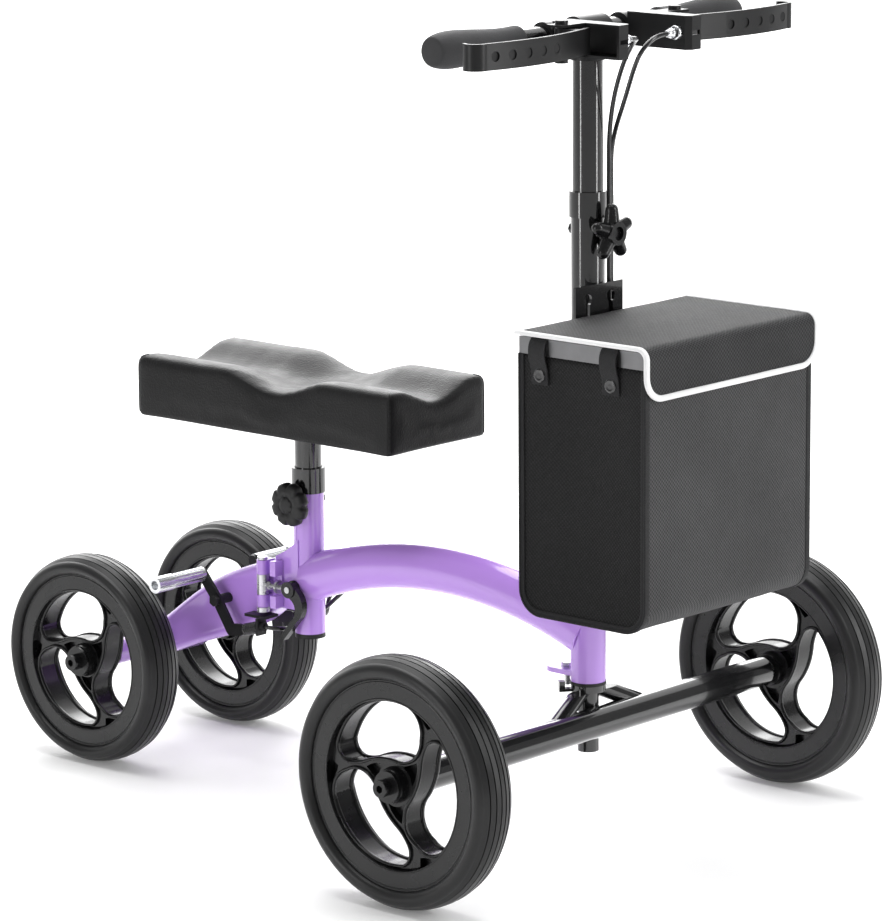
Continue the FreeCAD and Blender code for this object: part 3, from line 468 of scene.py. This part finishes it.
def tube_along(line, radius, segments=14):
    """Vertices and faces of a tube along a line, with no twist."""
    rings = []
    side = None
    for i, point in enumerate(line):
        ahead = (line[min(i + 1, len(line) - 1)] - line[max(i - 1, 0)]).normalized()
        side = ahead.orthogonal() if side is None else side - ahead * side.dot(ahead)
        side.normalize()
        up = ahead.cross(side)
        r = radius(i / (len(line) - 1)) if callable(radius) else radius
        rings.append([point + (side * math.cos(t) + up * math.sin(t)) * r
                      for t in (2 * math.pi * k / segments for k in range(segments))])
    return lofted(rings)


def finish_modifiers(obj):
    """Applies every modifier."""
    graph = bpy.context.evaluated_depsgraph_get()
    mesh = bpy.data.meshes.new_from_object(obj.evaluated_get(graph))
    obj.modifiers.clear()
    obj.data = mesh
    return obj


def mm(*values):
    return tuple(v / 1000 for v in values)


# ------------------------------------------------------------------ knee pad

PAD_LOW, PAD_HIGH = (Vector(corner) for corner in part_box("seat_pad"))
PAD_X = PAD_HIGH.x
PAD_MIDDLE = (PAD_LOW.y + PAD_HIGH.y) / 2
PAD_HALF = (PAD_HIGH.y - PAD_LOW.y) / 2


def dip(distance, reach, depth):
    """A smooth trough across a line."""
    if abs(distance) >= reach:
        return 0.0
    return depth * (0.5 + 0.5 * math.cos(math.pi * distance / reach))


def pad_height(x, y):
    """The pad's top: four raised corners round a cross of two troughs."""
    long_dip = dip(x, 0.060, 0.017)
    cross_dip = dip(y - 0.097, 0.078, 0.017)
    return PAD_HIGH.z - 0.0015 - (long_dip + cross_dip - long_dip * cross_dip / 0.028)


def inflated(obj, voxel, cap, pressure=4.0):
    """Fills a closed cloth shape under a little pressure, moving no point further than the cap."""
    remesh = obj.modifiers.new("Remesh", "REMESH")
    remesh.mode = "VOXEL"
    remesh.voxel_size = voxel
    finish_modifiers(obj)
    rest = np.array([v.co for v in obj.data.vertices])
    cloth = obj.modifiers.new("Cloth", "CLOTH")
    cloth.settings.use_pressure = True
    cloth.settings.uniform_pressure_force = pressure
    cloth.settings.effector_weights.gravity = 0
    cloth.settings.quality = 5
    cloth.settings.tension_stiffness = 40
    cloth.settings.compression_stiffness = 40
    cloth.settings.bending_stiffness = 2
    cloth.point_cache.frame_start = 1
    cloth.point_cache.frame_end = 20
    for step in range(1, 21):
        scene.frame_set(step)
    finish_modifiers(obj)
    scene.frame_set(1)
    moved = np.array([v.co for v in obj.data.vertices]) - rest
    length = np.linalg.norm(moved, axis=1, keepdims=True)
    rest = rest + moved * np.minimum(1, cap / np.maximum(length, 1e-9))
    obj.data.vertices.foreach_set("co", rest.ravel())
    for polygon in obj.data.polygons:
        polygon.use_smooth = True
    return obj


def pad_shell(inset):
    """A closed pad a little smaller than the finished one, with rounded edges."""
    half_x, half_y, corner, edge = PAD_X - inset, PAD_HALF - inset, 0.0045, 0.0045
    across, along, levels = 44, 96, 12

    def plan(u, v):
        x, y = half_x * u, half_y * v
        over = Vector((max(abs(x) - half_x + corner, 0), max(abs(y) - half_y + corner, 0)))
        if over.length > corner:
            over = over.normalized() * corner
            x = math.copysign(half_x - corner + over.x, x) if over.x > 0 else x
            y = math.copysign(half_y - corner + over.y, y) if over.y > 0 else y
        room = corner - over.length if over.length > 0 else min(half_x - abs(x), half_y - abs(y), corner)
        return x, y, room
    vertices, faces = [], []
    for i in range(along + 1):
        for j in range(across + 1):
            x, y, room = plan(2 * j / across - 1, 2 * i / along - 1)
            near = max(0.0, edge - max(room, 0.0))
            drop = edge - math.sqrt(edge ** 2 - near ** 2)
            vertices.append((x, PAD_MIDDLE + y, pad_height(x, PAD_MIDDLE + y) - inset - drop))
    for i in range(along):
        for j in range(across):
            a = i * (across + 1) + j
            faces.append((a, a + 1, a + across + 2, a + across + 1))
    rim = ([j for j in range(across + 1)] + [i * (across + 1) + across for i in range(1, along + 1)]
           + [along * (across + 1) + j for j in range(across - 1, -1, -1)]
           + [i * (across + 1) for i in range(along - 1, 0, -1)])
    previous = rim
    for level in range(1, levels + 1):
        share = level / levels
        row = []
        for index in rim:
            x, y, z = vertices[index]
            row.append(len(vertices))
            vertices.append((x, y, z + (PAD_LOW.z + inset - z) * share))
        for k in range(len(rim)):
            n = (k + 1) % len(rim)
            faces.append((previous[k], row[k], row[n], previous[n]))
        previous = row
    faces.append(tuple(previous))
    return vertices, faces


pad = piece("knee_pad", *pad_shell(0.0006), "pad_leather", None)
inflated(pad, voxel=0.0042, cap=0.0007)
for vertex in pad.data.vertices:
    vertex.co.z = min(max(vertex.co.z, PAD_LOW.z), pad_height(vertex.co.x, vertex.co.y) + 0.002)
relax = pad.modifiers.new("Relax", "SMOOTH")
relax.iterations = 3
relax.factor = 0.5
finish_modifiers(pad)
pad.modifiers.new("Fine", "SUBSURF").render_levels = 1
pad.modifiers["Fine"].levels = 1
finish_modifiers(pad)
for polygon in pad.data.polygons:
    polygon.use_smooth = True
dressed(pad, "pad_leather")
pad_skin = BVHTree.FromPolygons([v.co for v in pad.data.vertices], [f.vertices for f in pad.data.polygons])
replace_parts(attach(pad, "seat"), "seat_pad")

for side in (-1, 1):
    for end in (-1, 1):
        x, y = side * (PAD_X - 0.002), PAD_MIDDLE + end * (PAD_HALF - 0.002)
        top = pad_height(x, y)
        route = [Vector((x, y, PAD_LOW.z + 0.004 + (top - 0.010 - PAD_LOW.z) * k / 12)) for k in range(13)]
        route += [Vector((x - side * step, y - end * step, top)) for step in (0.002, 0.005, 0.009)]
        seam = [pad_skin.find_nearest(point)[0] for point in route]
        piece(f"pad_seam_{'right' if side < 0 else 'left'}_{'front' if end < 0 else 'rear'}",
              *tube_along(seam, 0.0009, 10), "pad_leather", "seat")

# ------------------------------------------------------------------ basket

BASKET_LOW, BASKET_HIGH = (Vector(corner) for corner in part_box("basket_fabric"))
RIM_LOW, RIM_HIGH = (Vector(corner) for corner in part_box("basket_rim"))
BASKET_MIDDLE = (BASKET_LOW.x + BASKET_HIGH.x) / 2
BASKET_X = (BASKET_HIGH.x - BASKET_LOW.x) / 2
TURN = 0.026
CLOTH = 0.0022


def basket_path(inset, top, count=10):
    """The basket's outline from its rear rim, down, under and up to the front one, with outward normals."""
    back, ahead, low = BASKET_HIGH.y - inset, BASKET_LOW.y + inset, BASKET_LOW.z + inset
    radius = TURN - inset
    points, normals = [], []

    def put(y, z, ny, nz):
        points.append(Vector((0, y, z)))
        normals.append(Vector((0, ny, nz)))
    for k in range(26):
        put(back, top + (low + radius - top) * k / 26, 1, 0)
    for k in range(count):
        t = math.pi / 2 * k / count
        put(back - radius + radius * math.cos(t), low + radius - radius * math.sin(t),
            math.cos(t), -math.sin(t))
    for k in range(14):
        put(back - radius + (ahead + radius - back + radius) * k / 14, low, 0, -1)
    for k in range(count):
        t = math.pi / 2 * k / count
        put(ahead + radius - radius * math.sin(t), low + radius - radius * math.cos(t),
            -math.sin(t), -math.cos(t))
    for k in range(27):
        put(ahead, low + radius + (top - low - radius) * k / 26, -1, 0)
    return points, normals


def slack(x, y, z):
    """How far stretched cloth stands in or out at a place."""
    return 0.0009 * noise.noise(Vector((x, y, z)) * 14) + 0.0004 * noise.noise(Vector((x, y, z)) * 42)


def sheet_piece(name, rows, look, body, thickness=CLOTH, offset=0.0):
    """A cloth sheet from rows of points, given its thickness."""
    vertices, faces = lofted(rows, closed=False)
    obj = piece(name, vertices, faces, look, None)
    solid = obj.modifiers.new("Thickness", "SOLIDIFY")
    solid.thickness = thickness
    solid.offset = offset
    finish_modifiers(obj)
    dressed(obj, look)
    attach(obj, body)
    return obj


points, normals = basket_path(CLOTH / 2, BASKET_HIGH.z + 0.002)
half = BASKET_X - 0.002
rows = []
for point, normal in zip(points, normals):
    row = []
    for j in range(41):
        u = 2 * j / 40 - 1
        height = min(1, max(0, (BASKET_HIGH.z - point.z) / 0.05))
        bow = (0.0026 * (1 - u * u) * height * (1 if normal.y < 0 else -1 if normal.y > 0.5 else 0.6)
               + slack(half * u, point.y, point.z) * (1 - abs(u) ** 6))
        inward = bow if normal.y > -0.5 else -0.35 * bow
        row.append(Vector((BASKET_MIDDLE + half * u, point.y, point.z)) - normal * inward)
    rows.append(row)
wrap = sheet_piece("basket_wrap", rows, "basket_cloth", "basket")
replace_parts(wrap, "basket_fabric")

panel_depth = BASKET_HIGH.y - BASKET_LOW.y - 2 * CLOTH
panel_height = BASKET_HIGH.z - BASKET_LOW.z - CLOTH
for side, name in ((-1, "right"), (1, "left")):
    rows = []
    for i in range(45):
        z = BASKET_LOW.z + CLOTH + panel_height * (i / 44) ** 1.15
        drop = max(0, TURN - CLOTH - (z - BASKET_LOW.z - CLOTH))
        pull = TURN - CLOTH - math.sqrt(max(0, (TURN - CLOTH) ** 2 - drop ** 2))
        row = []
        for j in range(27):
            v = j / 26
            y = BASKET_LOW.y + CLOTH + pull + (panel_depth - 2 * pull) * v
            edge = 16 * v * v * (1 - v) * (1 - v)
            edge *= min(1, (z - BASKET_LOW.z) / 0.06) * min(1, (BASKET_HIGH.z - z) / 0.05)
            out = BASKET_X - 0.0022 - 0.0035 * edge + slack(side, y, z) * edge
            row.append(Vector((BASKET_MIDDLE + side * out, y, z)))
        rows.append(row)
    # the side panels wear the darker cloth, which is painted shade
    sheet_piece(f"basket_side_{name}", rows, "shaded_side_cloth", "basket")
    line, out = basket_path(0.0004, BASKET_HIGH.z)
    section = rounded_section(0.0024, 0.0075)
    path = [Vector((BASKET_MIDDLE + side * (BASKET_X - 0.0022), point.y, point.z)) for point in line]
    piece(f"basket_binding_{name}", *lofted(swept(path, out, section)), "tape", "basket")
    edge = [Vector((BASKET_MIDDLE + side * (BASKET_X - 0.0006), point.y, point.z)) - normal * 0.0028
            for point, normal in zip(line, out)]
    flat_out = [Vector((side, 0, 0))] * len(edge)
    section = rounded_section(0.0022, 0.0058)
    piece(f"basket_edge_{name}", *lofted(swept(edge, flat_out, section)), "tape", "basket")

# snap straps over the rim
STRAPS = (-0.325, -0.415)
STRAP_WIDTH = 0.021
for side, name in ((-1, "right"), (1, "left")):
    for number, y in enumerate(STRAPS):
        wall = BASKET_MIDDLE + side * (BASKET_X + 0.0012)
        route = [(-0.0052, RIM_LOW.z - 0.012), (-0.0052, RIM_HIGH.z - 0.004), (-0.0030, RIM_HIGH.z + 0.0004),
                 (0.0004, RIM_HIGH.z - 0.001), (0.0036, RIM_HIGH.z - 0.006), (0.0046, RIM_HIGH.z - 0.013),
                 (0.0036, RIM_LOW.z - 0.003), (0.0010, RIM_LOW.z - 0.010), (-0.0010, RIM_LOW.z - 0.017),
                 (-0.0012, RIM_LOW.z - 0.029)]
        line = smooth_line([Vector((wall + side * out, y, z)) for out, z in route], 6)
        rows = [[point + Vector((0, STRAP_WIDTH * (j / 6 - 0.5), 0)) for j in range(7)] for point in line]
        strap = sheet_piece(f"basket_strap_{name}_{number}", rows, "tape", "basket",
                            thickness=0.0016)
        soften(strap, 0.0004)
        at = (wall - side * 0.0008, y, RIM_LOW.z - 0.0195)
        lathe(f"basket_snap_{name}_{number}", at, (side, 0, 0),
              [mm(0, 6.6), mm(1.0, 7.2), mm(1.8, 6.8), mm(2.2, 5.4), mm(1.8, 4.2), mm(1.9, 2), mm(2.0, 0.3)],
              "black_paint", "basket", 32, "black_paint")

# lid with its flap
LID_LOW, LID_HIGH = (Vector(corner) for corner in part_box("basket_lid"))
LID_X = (LID_HIGH.x - LID_LOW.x) / 2
LID_TOP = RIM_HIGH.z + 0.0036
FLAP_BEND = 0.010
FLAP_CORNER = 0.026
FLAP_Y = LID_LOW.y + 0.0018


def lid_path():
    """From the hinge edge forward, over the front bend and down the flap, with outward normals."""
    path = []
    rear = LID_HIGH.y - 0.001
    for k in range(34):
        path.append((Vector((0, rear + (FLAP_Y + FLAP_BEND - rear) * k / 34, LID_TOP)), Vector((0, 0, 1))))
    for k in range(10):
        t = math.pi / 2 * k / 10
        ahead, up = -math.sin(t), math.cos(t)
        point = Vector((0, FLAP_Y + FLAP_BEND + FLAP_BEND * ahead, LID_TOP - FLAP_BEND + FLAP_BEND * up))
        path.append((point, Vector((0, ahead, up))))
    for k in range(27):
        top = LID_TOP - FLAP_BEND
        path.append((Vector((0, FLAP_Y, top + (LID_LOW.z + 0.002 - top) * k / 26)), Vector((0, -1, 0))))
    return path


LID_HALF = LID_X - 0.0012
path = lid_path()
lid_bottom = path[-1][0].z


def lid_half(point, normal):
    """Half the lid's width at a place on its path: the flap's lower corners are round."""
    up = point.z - lid_bottom
    if normal.y > -0.99 or up >= FLAP_CORNER:
        return LID_HALF
    return LID_HALF - FLAP_CORNER + math.sqrt(max(0, FLAP_CORNER ** 2 - (FLAP_CORNER - up) ** 2))


def lid_bulge(x, point, normal):
    """The lid's slight crown and the flap's slight wave."""
    u = x / LID_HALF
    if normal.z > 0.5:
        rear = (LID_HIGH.y - point.y) / (LID_HIGH.y - LID_LOW.y)
        crown = 0.0016 * math.sin(math.pi * rear) * (1 - u * u)
        return crown + 0.0006 * noise.noise(Vector((x * 16, point.y * 22, 3)))
    return 0.0005 * noise.noise(Vector((x * 20, 7, point.z * 20))) * (1 - abs(u) ** 4)


rows = []
for point, normal in path:
    reach = lid_half(point, normal)
    row = []
    for j in range(49):
        x = reach * (2 * j / 48 - 1)
        row.append(point + Vector((BASKET_MIDDLE + x, 0, 0)) + normal * lid_bulge(x, point, normal))
    rows.append(row)
lid = sheet_piece("lid_cloth", rows, "lid_cloth", "lid",
                  thickness=0.0026)
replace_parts(lid, "basket_lid")

# white binding round the lid's open edges
edge, outward = [], []
for side in (-1, 1):
    walk = path if side < 0 else list(reversed(path))
    for point, normal in walk:
        up = point.z - lid_bottom
        if normal.y < -0.99 and up < FLAP_CORNER:
            continue
        edge.append(Vector((BASKET_MIDDLE + side * (LID_HALF - 0.0024), point.y, point.z)) + normal * 0.0004)
        outward.append(normal)
    if side < 0:
        centre = Vector((BASKET_MIDDLE, FLAP_Y - 0.0004, lid_bottom + FLAP_CORNER))
        for turn, sign in ((range(1, 13), -1), (range(12, 0, -1), 1)):
            for k in turn:
                t = math.pi / 2 * k / 12
                reach = FLAP_CORNER - 0.0024
                aside = sign * (LID_HALF - FLAP_CORNER + reach * math.cos(t))
                edge.append(centre + Vector((aside, 0, -reach * math.sin(t))))
                outward.append(Vector((0, -1, 0)))
section = rounded_section(0.0046, 0.0066, 0.45)
piece("lid_piping", *lofted(swept(edge, outward, section)), "white_tape", "lid", "basket_cloth")

# ------------------------------------------------------------------ grips and brake levers

GRIP_LOW, GRIP_HIGH = (Vector(corner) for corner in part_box("handlebar_grips"))
BAR_Y, BAR_Z = (GRIP_LOW.y + GRIP_HIGH.y) / 2, (GRIP_LOW.z + GRIP_HIGH.z) / 2
GRIP_PROFILE = [mm(0, 11.2), mm(0.4, 14.6), mm(2, 15.2), mm(6, 15.0), mm(18, 14.4), mm(34, 14.6),
                mm(52, 15.8), mm(70, 17.2), mm(88, 18.4), mm(100, 18.8), mm(110, 18.2), mm(118, 16.9),
                mm(123, 15.4), mm(125.2, 14.4), mm(126, 13.2), mm(126.1, 8), mm(126.1, 0.5)]
for side, name in ((-1, "right"), (1, "left")):
    inner = Vector((side * (GRIP_HIGH.x - 0.1262), BAR_Y, BAR_Z))
    grip = lathe(f"grip_{name}", inner, (side, 0, 0), GRIP_PROFILE, "grip_foam", "handlebar", 56)
    smooth = grip.modifiers.new("Round", "SUBSURF")
    smooth.levels = smooth.render_levels = 1
    if side < 0:
        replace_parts(grip, "handlebar_grips")

# silver cable adjusters at the perches' inner ends
ADJUSTER = Vector((0.045, BAR_Y - 0.078, BAR_Z))
for side, name in ((-1, "right"), (1, "left")):
    start = Vector((side * 0.0452, ADJUSTER.y, ADJUSTER.z))
    lathe(f"adjuster_{name}", start, (-side, 0, 0),
          [mm(0, 4), mm(0, 6.9), mm(0.6, 7.4), mm(4.2, 7.4), mm(4.8, 6.9), mm(4.8, 4.4), mm(7.5, 4.2),
           mm(8.0, 5.2), mm(11, 5.2), mm(11.4, 4.2), mm(15, 3.9), mm(16.5, 3.3), mm(17, 2.6)],
          "bright_alloy", "handlebar", 36, "bright_steel",
          twist=lambda along, t: 1 - 0.06 * (along < 0.005) * abs(math.cos(3 * t)))

# ------------------------------------------------------------------ cables

SHEATH = 0.0024
BAR_CABLES = {
    "right": ((-31, -350, 834), (-17, -350, 834), (-4, -335, 829), (7, -312, 805), (15, -293, 768),
              (20, -283, 730), (20, -283, 690), (20, -283, 470), (21, -283, 430)),
    "left": ((31, -350, 834), (14, -350, 834), (-1, -347, 825), (-7, -340, 810), (10, -312, 768),
             (24, -288, 735), (26, -281, 712), (26, -281, 690), (26, -281, 480), (27, -281, 430)),
}
NECK_CABLES = {
    "right": ((21, -283, 430), (24, -282, 390), (33, -265, 335), (35, -240, 290), (32, -216, 262),
              (24, -196, 246)),
    "left": ((27, -281, 430), (30, -279, 400), (40, -262, 345), (43, -235, 300), (38, -205, 268),
             (24.5, -183, 250)),
}
REAR_CABLES = {
    "right": ((24.5, 70, 219), (21, 92, 200), (19.5, 112, 182), (20, 128, 172), (12, 142, 166),
              (-4, 141, 160), (-40, 129, 165.6), (-40, 152, 165.6)),
    "left": ((25.5, 82, 229), (26, 98, 213), (22.5, 112, 192), (30, 120, 175), (40, 134, 165.6),
             (40, 152, 165.6)),
}


def cables(group, routes, node):
    for name, route in routes.items():
        line = smooth_line([Vector(mm(*point)) for point in route], 12)
        obj = piece(f"{group}_cable_{name}", *tube_along(line, SHEATH), "cable_sheath", None)
        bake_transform(obj)
        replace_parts(obj, node)


cables("bar", BAR_CABLES, "bar_cables")
cables("neck", NECK_CABLES, "neck_cables")
cables("rear", REAR_CABLES, "rear_cables")
GROMMET_BASE = 18
ARCH_ENDS = [route[-1] for route in NECK_CABLES.values()] + [route[0] for route in REAR_CABLES.values()]
for x, y, z in ARCH_ENDS:
    reach = x - GROMMET_BASE + 0.4
    lathe(f"grommet_{abs(y)}", mm(GROMMET_BASE, y, z), (1, 0, 0.1),
          [mm(0, 2.6), mm(0, 5.0), mm(reach - 1.8, 5.2), mm(reach - 0.6, 4.6), mm(reach, 3.4),
           mm(reach - 0.2, 2.5)], "black_plastic", "frame", 28, "black_plastic")

# ------------------------------------------------------------------ raised lips round the wheels' windows

WHEELS = ("front_wheel_right", "front_wheel_left", "rear_wheel_right", "rear_wheel_left")
WINDOW = (((-75, 30), (-38, 74.9), (20, 81.6)), ((20, 81.6), (33, 70), (35.5, 52)),
          ((35.5, 52), (28, 32), (6, 23.5)), ((6, 23.5), (-16, 24), (-36, 18.5)),
          ((-36, 18.5), (-47, 14.5), (-59, 13)), ((-59, 13), (-71, 18), (-75, 30)))


def arc_points(start, via, end, count):
    """Points along the arc through three places, without its end."""
    (ax, ay), (bx, by), (cx, cy) = start, via, end
    d = 2 * (ax * (by - cy) + bx * (cy - ay) + cx * (ay - by))
    a2, b2, c2 = ax * ax + ay * ay, bx * bx + by * by, cx * cx + cy * cy
    ox = (a2 * (by - cy) + b2 * (cy - ay) + c2 * (ay - by)) / d
    oy = (a2 * (cx - bx) + b2 * (ax - cx) + c2 * (bx - ax)) / d
    radius = math.hypot(ax - ox, ay - oy)
    first, middle, last = (math.atan2(y - oy, x - ox) for x, y in (start, via, end))
    sweep = (last - first) % (2 * math.pi)
    if (middle - first) % (2 * math.pi) > sweep:
        sweep -= 2 * math.pi
    turns = [first + sweep * k / count for k in range(count)]
    return [(ox + radius * math.cos(t), oy + radius * math.sin(t)) for t in turns]


LIP = [point for arc in WINDOW for point in arc_points(*arc, max(5, int(math.dist(arc[0], arc[2]) / 4.5)))]
for wheel in WHEELS:
    low, high = (Vector(corner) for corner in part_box(wheel))
    centre = (low + high) / 2
    scale = (high.z - low.z) / 2 / 0.105 / 1000
    for face in (-1, 1):
        for third in range(3):
            turn = 2 * math.pi * third / 3
            rings = []
            for k, (p, q) in enumerate(LIP):
                (p0, q0), (p1, q1) = LIP[k - 1], LIP[(k + 1) % len(LIP)]
                ahead = Vector((0, -(p1 - p0), q1 - q0)).normalized()
                across = ahead.cross(Vector((1, 0, 0)))
                ring = []
                for m in range(8):
                    t = 2 * math.pi * m / 8
                    ring.append(Vector((face * 0.0128 + 0.0028 * math.sin(t), -p * scale, q * scale))
                                + across * 0.0017 * math.cos(t))
                rings.append([centre + Vector((v.x, v.y * math.cos(turn) - v.z * math.sin(turn),
                                               v.y * math.sin(turn) + v.z * math.cos(turn))) for v in ring])
            rings.append(rings[0])
            piece(f"lip_{wheel}_{'outer' if face * centre.x > 0 else 'inner'}_{third}",
                  *lofted(rings, capped=False), "black_plastic_gloss", wheel)

# raised beads round each wheel's rim and tyre wall: place along the axle, radius, thickness, look
BEADS = {
    "rim": (0.0184, 0.1030, 0.0009, "black_plastic_gloss"),
    "ring": (0.0184, 0.0862, 0.0010, "black_plastic_gloss"),
    "wall": (0.0208, 0.1120, 0.0011, "tyre_rubber"),
}
for wheel in WHEELS:
    low, high = (Vector(corner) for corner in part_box(wheel))
    centre = (low + high) / 2
    scale = (high.z - low.z) / 2 / 0.105
    for face in (-1, 1):
        end = "outer" if face * centre.x > 0 else "inner"
        for bead, (out, radius, thick, look) in BEADS.items():
            rings = []
            for k in range(73):
                t = 2 * math.pi * k / 72
                spoke = Vector((0, math.cos(t), math.sin(t)))
                rings.append([centre + Vector((face * out, 0, 0))
                              + spoke * (radius * scale + thick * math.cos(u))
                              + Vector((face * 0.7 * thick * math.sin(u), 0, 0))
                              for u in (2 * math.pi * m / 8 for m in range(8))])
            piece(f"bead_{bead}_{wheel}_{end}", *lofted(rings, capped=False), look, wheel, look)

# ------------------------------------------------------------------ seat knob

KNOB_LOW, KNOB_HIGH = (Vector(corner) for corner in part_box("seat_knob"))
KNOB_MIDDLE = (KNOB_LOW + KNOB_HIGH) / 2
KNOB_PROFILE = [mm(0, 3.9), mm(7.3, 3.9), mm(7.4, 19), mm(8.2, 21.6), mm(10, 23.4), mm(14, 24), mm(18, 23.4),
                mm(20.2, 21.8), mm(21.4, 19), mm(22.0, 15), mm(22.2, 10.6), mm(21.4, 10.2), mm(21.3, 9.2),
                mm(22.2, 8.8), mm(22.7, 5), mm(22.8, 0.4)]
KNOB_LOBES = 8


def scalloped(along, turn):
    """Finger grooves round the knob's grip, but not its stud or its face."""
    gripped = 0.0074 < along < 0.0216
    return 1 - 0.13 * gripped * max(0, math.cos(KNOB_LOBES * turn)) ** 2


knob = lathe("seat_knob_grip", (KNOB_HIGH.x, KNOB_MIDDLE.y, KNOB_MIDDLE.z), (-1, 0, 0), KNOB_PROFILE,
             "black_plastic", "seat_knob", 96, "black_plastic", twist=scalloped)
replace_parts(knob, "seat_knob")

# ------------------------------------------------------------------ brake springs

COIL_RADIUS = 0.0058
COIL_TURNS = 7.5
COIL_STEPS = 240
for side, name in ((-1, "right"), (1, "left")):
    start, end = Vector(mm(side * 40, 155.6, 164.4)), Vector(mm(side * 40, 177.2, 158.2))
    d, a, b = frame_of(end - start)
    coil = []
    for k in range(COIL_STEPS + 1):
        t = k / COIL_STEPS
        angle = 2 * math.pi * COIL_TURNS * t
        coil.append(start + (end - start) * t + (a * math.cos(angle) + b * math.sin(angle)) * COIL_RADIUS)
    spring = piece(f"spring_{name}", *tube_along(coil, 0.00105, 8), "black_paint", None, "bright_steel")
    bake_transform(spring)
    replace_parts(spring, f"brake_spring_{name}")
    core = [start + (end - start) * k / 8 - d * 0.004 * (k == 0) for k in range(9)]
    wire = piece(f"brake_wire_{name}", *tube_along(core, 0.0008, 8), "bright_steel", None, "bright_steel")
    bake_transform(wire)

# ------------------------------------------------------------------ floor and finish


def stage_sheet(name, corners, colour, glow):
    """One flat sheet of the studio, with a little light of its own."""
    mesh = bpy.data.meshes.new(name)
    mesh.from_pydata(corners, [], [(0, 1, 2, 3)])
    obj = bpy.data.objects.new(name, mesh)
    scene.collection.objects.link(obj)
    sheet = Shader(name, colour, 0.9, specular=0.1)
    sheet.main.inputs["Emission Color"].default_value = (1, 1, 1, 1)
    sheet.main.inputs["Emission Strength"].default_value = glow
    obj.data.materials.append(sheet.material)


stage_sheet("floor", [(-12, -12, -0.0005), (12, -12, -0.0005), (12, 12, -0.0005), (-12, 12, -0.0005)],
            (0.93, 0.93, 0.93), 0.12)
stage_sheet("backdrop", [(9.2, -3.6, -0.001), (-2.6, 9.4, -0.001), (-2.6, 9.4, 8), (9.2, -3.6, 8)],
            (0.9, 0.9, 0.9), 1.0)
